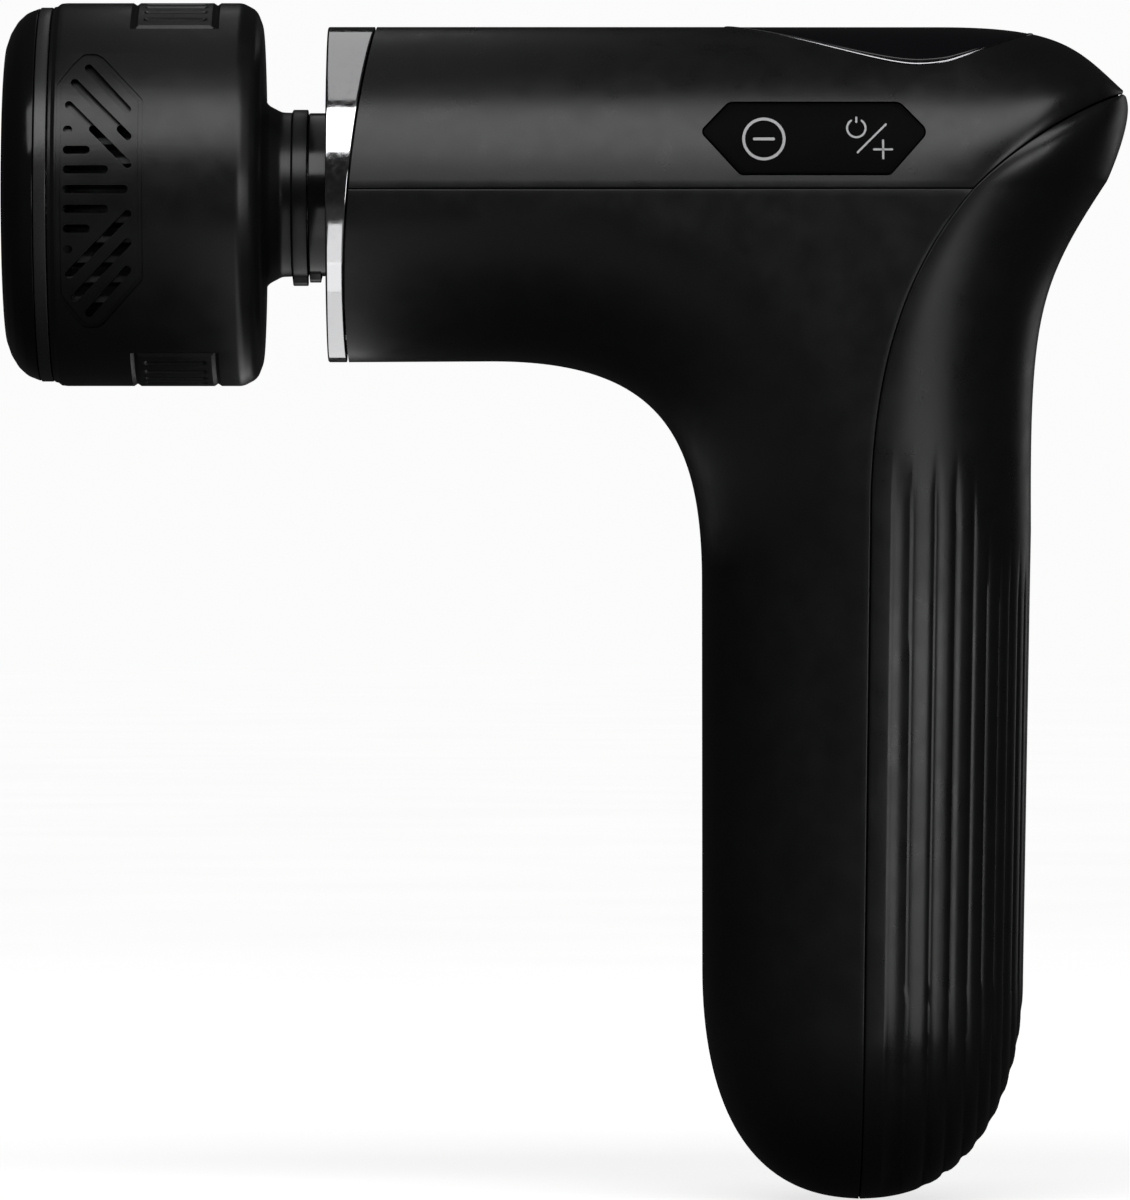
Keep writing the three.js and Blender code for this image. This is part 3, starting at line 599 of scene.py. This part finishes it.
def flutes(p, rows):
    """Rounded ribs between V grooves down the rear cover, after one shallow scoop."""
    x, z = p[:, :, 0], p[:, :, 2]
    rim_x = np.where(z > GRIP_BACK[1][1], rows[0][:, 0][:, None], GRIP_BACK[1][0])
    mid_x = seam_x(np.maximum(z, -134))
    share = np.clip((x - mid_x) / (rim_x - mid_x), 0, 0.9999)
    which = np.clip(np.searchsorted(FLUTES, share) - 1, 0, len(FLUTES) - 2)
    low, high = FLUTES[which], FLUTES[which + 1]
    pitch = np.arcsin(high) - np.arcsin(low)
    across = np.clip((np.arcsin(share) - np.arcsin(low)) / pitch, 0, 1)
    rib = RIB_DROP * pitch * np.abs(2 * across - 1) ** 3
    rib = np.where((which == 1) & (across < 0.5), 0.5 * rib, rib)
    depth = np.where(which == 0, SCOOP * np.sin(math.pi * across) ** 0.8, rib)
    depth = np.where(share < FLUTES[0], 0, depth)
    fade_in = smooth((np.interp(x, BEGIN_X, BEGIN_Z) - z) / 9)
    deeper_in_foot = 1 + 0.8 * smooth((-108 - z) / 8)
    end_above_floor = smooth((z + 134.6) / 3)
    return depth * fade_in * deeper_in_foot * end_above_floor


top_cover, top_outer = shell(
    "barrel_top_skin", TOP, 40, SHELL, "barrel_top_cover", dent=lid_slope, front=True)
shell("front_housing_skin", FRONT, 48, GRIP, "front_housing", corner=True, front=True)
shell("rear_grip_skin", BACK, 135, SHELL, "rear_grip_cover", relief=flutes, lines=FLUTES[:-1])


# ------------------------------------------------------------------ laying pieces on the top cover
def surface_tree(outer):
    rows, cols = outer.shape[:2]
    return BVHTree.FromPolygons(outer.reshape(-1, 3).tolist(), grid_faces(rows, cols))


TOP_TREE = surface_tree(top_outer)
OUTSIDE = 60                   # mm from the axis, clear of the barrel


def on_top(x, y):
    """The cover's surface point and normal straight below (x, y)."""
    hit = TOP_TREE.ray_cast(Vector((x, y, OUTSIDE)), Vector((0, 0, -1)))
    return np.array(hit[0]), np.array(hit[1])


def on_side(x, z):
    """The same, straight behind (x, z) as the viewer sees it."""
    hit = TOP_TREE.ray_cast(Vector((x, -OUTSIDE, z)), Vector((0, 1, 0)))
    return np.array(hit[0]), np.array(hit[1])


def inset(outline, amount):
    """A smooth closed outline moved inward."""
    ahead, behind = np.roll(outline, -1, 0), np.roll(outline, 1, 0)
    way = ahead - behind
    way /= np.linalg.norm(way, axis=1)[:, None]
    normal = np.column_stack([-way[:, 1], way[:, 0]])
    area = 0.5 * np.sum(outline[:, 0] * ahead[:, 1] - ahead[:, 0] * outline[:, 1])
    return outline + normal * amount * (1 if area > 0 else -1)


def lay(point, lift):
    """A surface point moved out along its normal."""
    p, n = point
    n = n if n @ np.array([0, -1.0, 1.0]) > 0 or n[2] > 0.1 else -n
    return p + n * lift


def slab(name, outline, place, thick, body, look, nodes, roll, lift, spine):
    """A plate that follows the cover's surface inside an outline, with a rolled edge.

    Its rings draw together round the point called spine."""
    edge = inset(outline, roll)
    grid = []
    for share in np.linspace(0.08, 1, 12):
        grid.append((spine + (edge - spine) * share, 0.0))
    for k in range(3):
        a = (k + 1) / 3 * math.pi / 2
        grid.append((inset(outline, roll * (1 - math.sin(a))), -roll * (1 - math.cos(a))))
    verts = []
    count = len(outline)
    for ring, drop in grid:
        verts += [lay(place(*q), lift + drop) for q in ring]
    verts += [lay(place(*q), lift - thick) for q in outline]
    for ring, _ in grid[-4::-1]:
        verts += [lay(place(*q), lift - thick) for q in ring]
    rows = len(verts) // count
    faces = grid_faces(rows, count, closed_cols=True)
    faces.append(tuple(range(count)))
    faces.append(tuple((rows - 1) * count + k for k in range(count)))
    return make(name, verts, faces, body, look, nodes, 40)


def bead(name, outer, inner, place, height, thick, body, look, nodes):
    """A rounded ring between two outlines that follows the cover's surface."""
    profile = []
    for k in range(7):
        a = math.pi * k / 6
        profile.append(((1 - math.cos(a)) / 2, height * math.sin(a)))
    profile += [(1.0, -thick), (0.0, -thick)]
    verts = []
    for share, up in profile:
        line = outer + (inner - outer) * share
        verts += [lay(place(*q), up - height * 0.5) for q in line]
    faces = grid_faces(len(profile), len(outer), True, True)
    return make(name, verts, faces, body, look, nodes, 50)


def teardrop(grow, n=40):
    """Outline of the display lens from above, grown on all sides."""
    front, back, half = -18.2 - grow, 22 + grow, 14 + grow
    t = np.linspace(0, 1, n, endpoint=False)
    a = bezier([(front, 0), (front, -5.6), (-1, -half), (6.9, -half)], t)
    b = bezier([(6.9, -half), (15.5, -half), (back, -8.5), (back, 0)], t)
    one = np.vstack([a, b])
    two = one.copy()[::-1]
    two[:, 1] *= -1
    return np.vstack([one, [[back, 0]], two[:-1]])


HEXAGON = [
    (-22.2, 7.6, 0.7), (-17, 1.9, 0.7), (2.8, 1.9, 0.7),
    (7.8, 7.6, 1.1), (4.1, 11.5, 1.3), (-18.5, 11.5, 1.3),
]


def resample(outline, n):
    """The same closed outline with n points at equal distances."""
    loop = np.vstack([outline, outline[:1]])
    far = np.concatenate([[0], np.cumsum(np.linalg.norm(np.diff(loop, axis=0), axis=1))])
    s = np.linspace(0, far[-1], n, endpoint=False)
    return np.column_stack([np.interp(s, far, loop[:, 0]), np.interp(s, far, loop[:, 1])])


hexagon = resample(rounded(HEXAGON, 1, 8), 200)


def prism(name, outline, axis, a, b):
    """A closed cutter: an outline of (x, z) pushed along y, or of (x, y) pushed along z."""
    n = len(outline)
    if axis == "y":
        verts = [(x, a, z) for x, z in outline] + [(x, b, z) for x, z in outline]
    else:
        verts = [(x, y, a) for x, y in outline] + [(x, y, b) for x, y in outline]
    faces = [(k, (k + 1) % n, n + (k + 1) % n, n + k) for k in range(n)]
    faces += [tuple(range(n)), tuple(range(n, 2 * n))]
    return cutter(name, verts, faces)


LENS_TRIM = 0.75               # the bright trim reaches this far round the lens
LENS_MID = np.array([4.0, 0.0])
KEY_MID = np.array([-7.2, 6.7])
cut_with(top_cover, [
    prism("cut_lens", teardrop(LENS_TRIM + 0.12), "z", 5, 40),
    prism("cut_key", inset(hexagon, -0.16), "y", -40, -5),
], 40, 0.08)
slab("display_glass", teardrop(0), on_top, 1.6, "housing", LENS, ("display_lens",),
     roll=0.25, lift=-0.02, spine=LENS_MID)
bead("display_bezel", teardrop(LENS_TRIM), teardrop(0.08), on_top, 0.22, 1.5,
     "housing", SATIN, ("display_trim",))
slab("key_cap", hexagon, on_side, 1.6, "key", KEY, ("control_key",),
     roll=0.15, lift=0.0, spine=KEY_MID)


# ------------------------------------------------------------------ printed marks on the key
MARK_LIFT, MARK_SINK = 0.03, -0.2


def ribbon(name, path, width, closed=False):
    """A printed line on the key, with round ends unless it is closed."""
    way = np.roll(path, -1, 0) - np.roll(path, 1, 0) if closed else np.gradient(path, axis=0)
    way /= np.linalg.norm(way, axis=1)[:, None]
    side = np.column_stack([-way[:, 1], way[:, 0]])
    half = np.full(len(path), width / 2)
    if not closed:
        far = np.concatenate([[0], np.cumsum(np.linalg.norm(np.diff(path, axis=0), axis=1))])
        near = np.minimum(far, far[-1] - far)
        half = np.where(near < width / 2, np.sqrt(np.maximum(0.0004, near * (width - near))), half)
    verts = []
    for p, s, h in zip(path, side, half):
        for k, up in ((-1, MARK_SINK), (-1, MARK_LIFT), (0, MARK_LIFT), (1, MARK_LIFT), (1, MARK_SINK)):
            verts.append(lay(on_side(*(p + s * h * k)), up))
    faces = grid_faces(len(path), 5, True, closed)
    if not closed:
        faces += [tuple(range(5)), tuple(5 * (len(path) - 1) + k for k in range(5))]
    return make(name, verts, faces, "key", PRINT, (), 40)


def arc(centre, radius, start, stop, n):
    a = np.radians(np.linspace(start, stop, n))
    return np.column_stack([centre[0] + radius * np.cos(a), centre[1] + radius * np.sin(a)])


def stroke(a, b, n=24):
    """A straight path whose points lie closer together at its ends."""
    t = 0.5 - 0.5 * np.cos(np.linspace(0, math.pi, n))
    return straight(a, b, t)


ribbon("mark_circle", arc((-13.9, 6.6), 2.68, 0, 357, 120), 0.38, True)
ribbon("mark_minus", stroke((-15.35, 6.6), (-12.45, 6.6)), 0.38)
ribbon("mark_power_ring", arc((-1.65, 8.05), 1.22, 118, 422, 70), 0.27)
ribbon("mark_power_bar", stroke((-1.65, 9.6), (-1.65, 8.75)), 0.26)
ribbon("mark_slash", stroke((2.35, 8.65), (-1.6, 4.7), 40), 0.26)
ribbon("mark_plus_across", stroke((0.55, 5.2), (3.2, 5.2)), 0.27)
ribbon("mark_plus_up", stroke((1.88, 3.87), (1.88, 6.53)), 0.27)


# ------------------------------------------------------------------ nose: ring, plate, seal, hub
RING_BORE = 20.3


def nose_ring():
    """Bright ring with a flat front and a rear edge that leans back towards the top."""
    n = 240
    verts = []
    for k in range(n):
        a = 2 * math.pi * k / n
        rear = nose_x(BARREL_R * math.sin(a)) - RING_SETBACK
        section = rounded([
            (RING_FRONT, RING_BORE, 0.3), (RING_FRONT, BARREL_R, 0.45), (RING_FRONT + 0.6, BARREL_R, 0),
            (rear - 0.3, BARREL_R, 0), (rear, BARREL_R, 0.12), (rear, RING_BORE, 0.1),
        ], 0.3, 6)
        verts += [(x, r * math.cos(a), r * math.sin(a)) for x, r in section]
    faces = grid_faces(n, len(verts) // n, True, True)
    make("nose_ring_chrome", verts, faces, "housing", CHROME, ("nose_ring",), 50)


nose_ring()
lathe("nose_plate_face", [
    (-71.7, 12.4, 0.25), (-71.7, 13.6, 0.1), (-71.45, 13.9, 0.1), (-71.45, 19.2, 0.1),
    (-71.7, 19.5, 0.1), (-71.7, 20.05), (-69.9, 20.05), (-69.9, 16.6, 0), (-63.4, 16.6),
    (-63.4, 14.8), (-69.6, 14.8, 0), (-69.6, 12.4),
], "housing", DARK, ("nose_plate",))
lathe("dust_lip", [
    (-66.2, 11.4), (-65.6, 11.3), (-65.0, 11.5), (-63.7, 12.2), (-63.7, 14.5), (-66.2, 14.5),
], "housing", RUBBER, ("dust_seal",), 0.15)

TAB_LIFT = 0.85
TAB_SPREAD = 10                # degrees to each side of the bottom
TAB_FROM_R = 10.9              # only what lies further out than this is lifted


def collar(name, profile, tab, body, look, nodes, radius):
    """A turned collar whose bottom carries a keying rib between the x limits of tab."""
    p = rounded(profile, radius, 4)
    n = 200
    verts = []
    for k in range(n):
        a = 2 * math.pi * k / n
        from_bottom = abs((math.degrees(a) - 270 + 180) % 360 - 180)
        lift = TAB_LIFT * (1 - smooth((from_bottom - TAB_SPREAD) / 3))
        for x, r in p:
            on_tab = tab[0] - 0.05 <= x <= tab[1] + 0.05 and r > TAB_FROM_R
            reach = r + lift if on_tab else r
            verts.append((x, reach * math.cos(a), reach * math.sin(a)))
    return make(name, verts, grid_faces(n, len(p), True, True), body, look, nodes, 35)


collar("hub_socket", [
    (-74.6, 8.3, 0.5), (-74.6, 10.95, 0.25), (-73.0, 10.95, 0), (-72.8, 10.95, 0), (-59.4, 10.95),
    (-59.4, 4.3, 0.1), (-61.7, 4.3, 0.1), (-61.7, 8.3, 0.1),
], (-74.5, -72.9), "piston", COLLAR, ("output_hub",), 0.15)

# ------------------------------------------------------------------ head
housing = collar("head_shell", [
    (-108.7, 23.5), (-108.7, 25.15, 0.15), (-108.25, 25.25, 0.3), (-107.75, 25.62, 0.3),
    (-107.0, HEAD_R, 2.0), (-83.4, HEAD_R, 2.2), (-81.5, 24.7, 2.0), (-80.7, 22.6, 3.0),
    (-80.7, 13.9, 1.2), (-80.2, 12.1, 1.6), (-78.2, 11.05, 1.6), (-76.85, 11.0, 0.1),
    (-76.65, 11.4, 0.15), (-74.68, 11.4, 0.12), (-74.68, 8.3, 0.2), (-82.9, 8.3), (-82.9, 23.5),
], (-76.75, -74.7), "head", HEAD, ("head_housing",), 0.3)

VENT_Z = -0.2                  # the vents' middle, from the barrel axis
SLOT_R = 0.53                  # half the width of a slot
HALF_VENT = [
    ((-103.3, 16.2), (-98.1, 10.6)), ((-105.1, 14.2), (-98, 7)), ((-105.8, 11.2), (-98, 3.3)),
    ((-106.0, 7.9), (-105.85, 7.9)), ((-106, 5.2), (-103.5, 5.2)), ((-106, 2.6), (-101.1, 2.6)),
]
VENTS = HALF_VENT + [((a, -b), (c, -d)) for (a, b), (c, d) in HALF_VENT] + [((-106, 0), (-98.5, 0))]
BLIND_FLOOR_R = 24.9           # the upper vents are only let in this deep
OPEN_BELOW = 8.0               # below this level they open into the duct
DUCT_Y = 10.0                  # how far in the open ones are cut


def vent_cutter(name, a, b, side, floor_r, slot_r=SLOT_R):
    """A slot cutter with round ends that stops at a depth; floor_r None goes right through the wall."""
    a, b = np.array(a, float), np.array(b, float)
    length = np.linalg.norm(b - a)
    way = (b - a) / length
    turn = np.array([-way[1], way[0]])
    ends = slot_r * (1 - np.cos(np.linspace(0.12, math.pi / 2, 7)))
    runs = np.concatenate([ends - slot_r, np.linspace(0, length, 14)[1:-1], length + slot_r - ends[::-1]])
    verts = []
    for s in runs:
        over = max(0.0, -s, s - length)
        half = math.sqrt(max(1e-4, slot_r**2 - over**2))
        for k, out in ((-1, False), (-1, True), (1, True), (1, False)):
            x, z = a + way * s + turn * half * k
            z = z + VENT_Z
            deep = DUCT_Y if floor_r is None else math.sqrt(floor_r**2 - z * z)
            verts.append((x, side * (40.0 if out else deep), z))
    faces = grid_faces(len(runs), 4, closed_cols=True)
    faces += [(0, 1, 2, 3), tuple(4 * len(runs) - 4 + k for k in range(4))]
    return cutter(name, verts, faces)


def clipped(a, b, level):
    """The stretch of a slot that lies below a level, or None."""
    a, b = np.array(a, float), np.array(b, float)
    if a[1] < b[1]:
        a, b = b, a
    if b[1] >= level:
        return None
    if a[1] > level:
        a = a + (b - a) * (a[1] - level) / (a[1] - b[1])
    return a, b


def frame_loop(side):
    """Cutter for the shallow band round the vents, wrapped on the head."""
    half = [(-107.5, 14.0), (-105.4, 16.8), (-104.0, 18.2), (-102.3, 18.2), (-101.4, 17.7), (-96.0, 11.9)]
    points = half + [(x, -z) for x, z in half[::-1]]
    outline = resample(rounded([(*p, 0.8) for p in points], 0.8, 5), 260)
    section = [(0.0, 0.4), (0.04, -0.2), (0.66, -0.2), (0.7, 0.4)]
    verts = []
    for q0, q1 in zip(outline, inset(outline, 1.0)):
        for s, up in section:
            x, z = q0 + (q1 - q0) * s
            z = z + VENT_Z
            r = HEAD_R + up
            verts.append((x, side * math.sqrt(r * r - z * z), z))
    return cutter(f"cut_frame_{side}", verts, grid_faces(len(outline), 4, True, True))


slots, ducts = [], []
for side in (-1, 1):
    for k, (a, b) in enumerate(VENTS):
        deep = clipped(a, b, OPEN_BELOW) if abs(a[0] - b[0]) > 0.5 else None
        whole = deep is not None and max(a[1], b[1]) <= OPEN_BELOW
        if not whole:
            slots.append(vent_cutter(f"cut_vent_{k}_{side}", a, b, side, BLIND_FLOOR_R))
        if deep:
            slot_r = SLOT_R if whole else SLOT_R - 0.03
            ducts.append(vent_cutter(f"cut_duct_{k}_{side}", *deep, side, None, slot_r))
cut_with(housing, ducts, 35)
cut_with(housing, slots, 35)
cut_with(housing, [frame_loop(-1), frame_loop(1)], 35, 0.09)

PATCH_X = (-98.1, -86.3)       # where a finger patch starts and ends along the head
PATCH_SPREAD = 33.0            # degrees to each side of the head's top or bottom
PATCH_BASE_R = 24.4            # its underside
MM_PER_DEGREE = 0.448          # along the head's round face
BAR_HALF = 0.38                # half the width of a sunk bar
BAR_DEPTH, EDGE_DEPTH = 0.30, 0.34


def patch_depth(x, angle, bars):
    """How deep a finger patch lies at one point: a V groove all round, and a field of sunk bars."""
    from_edge = min(x - PATCH_X[0], PATCH_X[1] - x, (PATCH_SPREAD - abs(angle)) * MM_PER_DEGREE)
    groove = EDGE_DEPTH * (1 - abs(from_edge - 0.5) / 0.5) if from_edge < 1.0 else 0.0
    field = smooth((from_edge - 1.25) / 0.25)
    from_bar = np.min(np.abs(bars - angle)) * MM_PER_DEGREE
    bar_end = smooth((min(x - PATCH_X[0] - 1.8, PATCH_X[1] - 1.8 - x)) / 0.35)
    hollow = BAR_DEPTH * (1 - smooth((from_bar - BAR_HALF) / 0.22)) * bar_end
    return max(groove, hollow * field)


def on_head(x, r, angle, top):
    """A point on the head at an angle in degrees from its top or its bottom."""
    t = math.radians(angle + (90 if top else 270))
    return x, -r * math.cos(t), r * math.sin(t)


def grip_patch(name, top):
    """Finger patch let into the head's top or bottom: sunk bars inside a V groove."""
    low, high = PATCH_X
    xs = np.concatenate([
        np.linspace(low, low + 1, 9), np.linspace(low + 1.2, high - 1.2, 40), np.linspace(high - 1, high, 9),
    ])
    angles = np.linspace(-PATCH_SPREAD, PATCH_SPREAD, 265)
    bars = np.arange(-27, 28, 6)    # degrees
    verts = []
    for a in angles:
        verts += [on_head(x, HEAD_R + 0.005 - patch_depth(x, a, bars), a, top) for x in xs]
    rows, cols = len(angles), len(xs)
    count = len(verts)
    for a in angles:
        verts += [on_head(x, PATCH_BASE_R, a, top) for x in xs]
    faces = grid_faces(rows, cols) + grid_faces(rows, cols, first=count)
    rim = [i * cols for i in range(rows)] + [(rows - 1) * cols + j for j in range(1, cols)]
    rim += [i * cols + cols - 1 for i in range(rows - 2, -1, -1)] + list(range(cols - 2, 0, -1))
    for p, q in zip(rim, rim[1:] + rim[:1]):
        faces.append((p, q, count + q, count + p))
    return make(name, verts, faces, "head", PAD, (), 28)


def patch_pocket(name, top):
    """Cutter that lets a finger patch into the head."""
    n = 60
    low, high = PATCH_X[0] - 0.02, PATCH_X[1] + 0.02
    verts = []
    for angle in np.linspace(-PATCH_SPREAD - 0.05, PATCH_SPREAD + 0.05, n + 1):
        verts += [on_head(x, r, angle, top) for x, r in ((low, 24.3), (low, 27), (high, 27), (high, 24.3))]
    faces = grid_faces(n + 1, 4, closed_cols=True) + [(0, 1, 2, 3), tuple(4 * n + j for j in range(4))]
    return cutter(name, verts, faces)


cut_with(housing, [patch_pocket("cut_patch_top", True), patch_pocket("cut_patch_low", False)], 35)
grip_patch("head_grip_top", True)
grip_patch("head_grip_bottom", False)

lathe("head_bezel_gloss", [
    (HEAD_FRONT, 19.25, 0.15), (HEAD_FRONT, 20.0, 0.8), (-114.45, 21.7, 2.0), (-113.5, 23.25, 2.5),
    (-112.3, 24.35, 2.5), (-110.62, 25.0, 0.12), (-110.62, 19.25, 0.1),
], "head", GLOSS, ("head_bezel",), 0.3, 200)
lathe("head_trim_ring", [(-110.5, 20.5), (-110.5, 25.1, 0.15), (-108.85, 25.1, 0.15), (-108.85, 20.5)],
      "head", TRIM, ("trim_ring",), 0.1, 200)


def disc(name, profile, look, nodes):
    """Turned solid that closes on the axis. The profile runs from one end's centre to the other's."""
    segments = 160
    p = np.array(profile, float)
    verts = [(p[0][0], 0, 0), (p[-1][0], 0, 0)]
    inner = p[1:-1]
    for k in range(segments):
        a = 2 * math.pi * k / segments
        verts += [(x, r * math.cos(a), r * math.sin(a)) for x, r in inner]
    faces = grid_faces(segments, len(inner), closed_rows=True, first=2)
    m = len(inner)
    for k in range(segments):
        q = (k + 1) % segments
        faces.append((0, 2 + k * m, 2 + q * m))
        faces.append((1, 2 + k * m + m - 1, 2 + q * m + m - 1))
    return make(name, verts, faces, "head", look, nodes, 32)


plate_front = [(HEAD_FRONT, r) for r in (0, *np.linspace(2, 18, 9), 18.75)]
plate_edge = [(HEAD_FRONT + 0.03, 18.9), (HEAD_FRONT + 0.1, 19.02), (HEAD_FRONT + 0.25, 19.08)]
plate_back = [(-112.9, 19.1), (-112.9, 0)]
disc("contact_plate_gloss", plate_front + plate_edge + plate_back, GLOSS, ("contact_plate",))
disc("plug_pin", [
    (-63.0, 0), (-63.0, 7.0), (-63.1, 7.4), (-63.6, 7.95), (-63.8, 8.0), (-66.3, 8.0), (-66.3, 6.9),
    (-68.9, 6.9), (-68.9, 8.0), (-83.4, 8.0), (-83.4, 0),
], STEEL, ("head_plug",))
seal_turn = np.linspace(0, 2 * math.pi, 20)[:-1]
seal_section = [(-67.6 + math.cos(a), 7.15 + math.sin(a), 0) for a in seal_turn]
lathe("plug_seal_ring", seal_section, "head", RUBBER, ("plug_o_ring",), 0, 96)

# ------------------------------------------------------------------ carried-over CAD pieces
LOOKS = {
    "steel": STEEL, "alu": ALLOY, "bronze": BRONZE, "board": BOARD, "cell": CELL, "dark": DARK,
    "rubber": RUBBER, "ceramic": CERAMIC,
}
for row in frame["record"]["subparts"]:
    node = NODES[row["node"]]
    if node.hide_render:
        continue
    for holder in node.material_slots:
        holder.material = LOOKS[row["material_slot"]]

# ------------------------------------------------------------------ studio
FLOOR_GAP = 0.0004
floor_z = CAD_BOX[0].z - FLOOR_GAP


def paper_material():
    """White paper: shaded near the object, plain further out, and dim to all but the camera."""
    m = material("pale_paper", Roughness=0.9, Specular_IOR_Level=0.1)
    n = Nodes(m)
    away = n.add("ShaderNodeVectorMath", operation="LENGTH")    # metres from the middle of the sheet
    n.link(n.place, away.inputs[0])
    unlit = n.spread(away.outputs["Value"], 0, 1, 0.3, 1.3)
    bright = n.spread(away.outputs["Value"], 0, 1, 0.05, 0.4)
    seen_by_camera = n.add("ShaderNodeLightPath").outputs["Is Camera Ray"]
    grain = n.spread(n.noise(9, 2), 0.99, 1.01)

    def mixed(a, b, by):
        node = n.add("ShaderNodeMix", data_type="RGBA")
        node.inputs[0].default_value = 0
        for socket, value in ((6, a), (7, b)):
            if isinstance(value, float):
                node.inputs[socket].default_value = (value, value, value, 1)
            else:
                n.link(value, node.inputs[socket])
        n.link(by, node.inputs[0])
        return node.outputs[2]

    n.link(mixed(0.02, mixed(0.55, 0.0, unlit), seen_by_camera), n.shader.inputs["Base Color"])
    n.link(mixed(0.015, mixed(0.74, 0.97, bright), seen_by_camera), n.shader.inputs["Emission Color"])
    n.link(grain, n.shader.inputs["Emission Strength"])
    return m


def paper_sheet(name, half_x, front, back):
    """The floor: one level sheet just under the object."""
    corners = [(-half_x, front), (half_x, front), (half_x, back), (-half_x, back)]
    mesh = bpy.data.meshes.new(name)
    mesh.from_pydata([(x, y, floor_z) for x, y in corners], [], [(0, 1, 2, 3)])
    mesh.materials.append(paper_material())
    obj = bpy.data.objects.new(name, mesh)
    bpy.context.scene.collection.objects.link(obj)


paper_sheet("paper_floor", 6, -6, 12)


def softbox(name, angles, distance, target, width, height, radiance):
    """Area light that faces its target from an azimuth and an elevation in degrees.

    Azimuth 0 is the viewer's side, and 90 the +X side. Radiance is how bright a mirror shows it."""
    azimuth, elevation = (math.radians(a) for a in angles)
    way = Vector((math.sin(azimuth) * math.cos(elevation), -math.cos(azimuth) * math.cos(elevation),
                  math.sin(elevation)))
    light = bpy.data.lights.new(name, "AREA")
    light.shape, light.size, light.size_y = "RECTANGLE", width, height
    light.energy = radiance * math.pi * width * height
    obj = bpy.data.objects.new(name, light)
    obj.location = Vector(target) + way * distance
    obj.rotation_mode = "QUATERNION"
    obj.rotation_quaternion = way.to_track_quat("Z", "Y")
    obj.visible_camera = False
    bpy.context.scene.collection.objects.link(obj)


BARREL_MID = (-0.05, 0, AXIS_Z)
GRIP_MID = (0.0, 0, -0.01)
RING_X = -0.0745
CARD_DROP = 0.05               # the ring's cards lie this far below the barrel axis
CARD_W = 0.014
LOW_CARD_DROP = AXIS_Z - floor_z - 0.001    # one millimetre above the floor
BELOW = (0, -90)

softbox("key_softbox", (0, 43), 0.8, BARREL_MID, 1.3, 0.46, 3.3)
softbox("side_strip", (36, -6), 0.9, GRIP_MID, 0.50, 0.60, 3.9)
softbox("ring_front_card", BELOW, CARD_DROP, (RING_X, -0.0948, AXIS_Z), CARD_W, 0.0782, 0.88)
softbox("ring_glint", BELOW, CARD_DROP, (RING_X, -0.0424, AXIS_Z), CARD_W, 0.0262, 1.15)
softbox("ring_under_card", BELOW, CARD_DROP, (RING_X, 0.012, AXIS_Z), CARD_W, 0.0822, 0.88)
softbox("ring_top_card", (0, 106), 0.5, (-0.093, 0, AXIS_Z), 0.07, 0.87, 0.45)
softbox("low_card", BELOW, LOW_CARD_DROP, (0.0, -0.25, AXIS_Z), 0.20, 0.26, 0.12)
softbox("rim_fill", (146, 4), 1.0, GRIP_MID, 0.35, 0.7, 0.35)


def studio_world():
    """White behind the object for the camera, and a dark room for every reflection."""
    world = bpy.data.worlds.new("studio")
    bpy.context.scene.world = world
    world.use_nodes = True
    tree = world.node_tree
    tree.nodes.clear()
    out = tree.nodes.new("ShaderNodeOutputWorld")
    path = tree.nodes.new("ShaderNodeLightPath")
    pick = tree.nodes.new("ShaderNodeMixShader")
    seen = tree.nodes.new("ShaderNodeBackground")
    seen.inputs["Color"].default_value = (0.97, 0.97, 0.97, 1)
    felt = tree.nodes.new("ShaderNodeBackground")
    felt.inputs["Color"].default_value = (0.014, 0.014, 0.0145, 1)
    tree.links.new(path.outputs["Is Camera Ray"], pick.inputs[0])
    tree.links.new(felt.outputs[0], pick.inputs[1])
    tree.links.new(seen.outputs[0], pick.inputs[2])
    tree.links.new(pick.outputs[0], out.inputs["Surface"])


studio_world()

# ------------------------------------------------------------------ camera
CAMERA_AWAY = 1.45
VIEW_HEIGHT = 161.194 * MM     # what the picture's height covers at the object's middle plane
VIEW_X = -40.231 * MM          # the picture's middle, along the barrel
VIEW_BELOW_AXIS = 54.437 * MM  # and under the barrel axis
camera = bpy.data.cameras.new("camera")
camera.sensor_width = 36
camera.lens = camera.sensor_width * CAMERA_AWAY / VIEW_HEIGHT
camera.clip_start, camera.clip_end = 0.05, 20
view = bpy.data.objects.new("camera", camera)
view.location = (VIEW_X, -CAMERA_AWAY, AXIS_Z - VIEW_BELOW_AXIS)
view.rotation_euler = (math.pi / 2, 0, 0)
bpy.context.scene.collection.objects.link(view)
bpy.context.scene.camera = view
bpy.context.scene.view_settings.view_transform = "Standard"
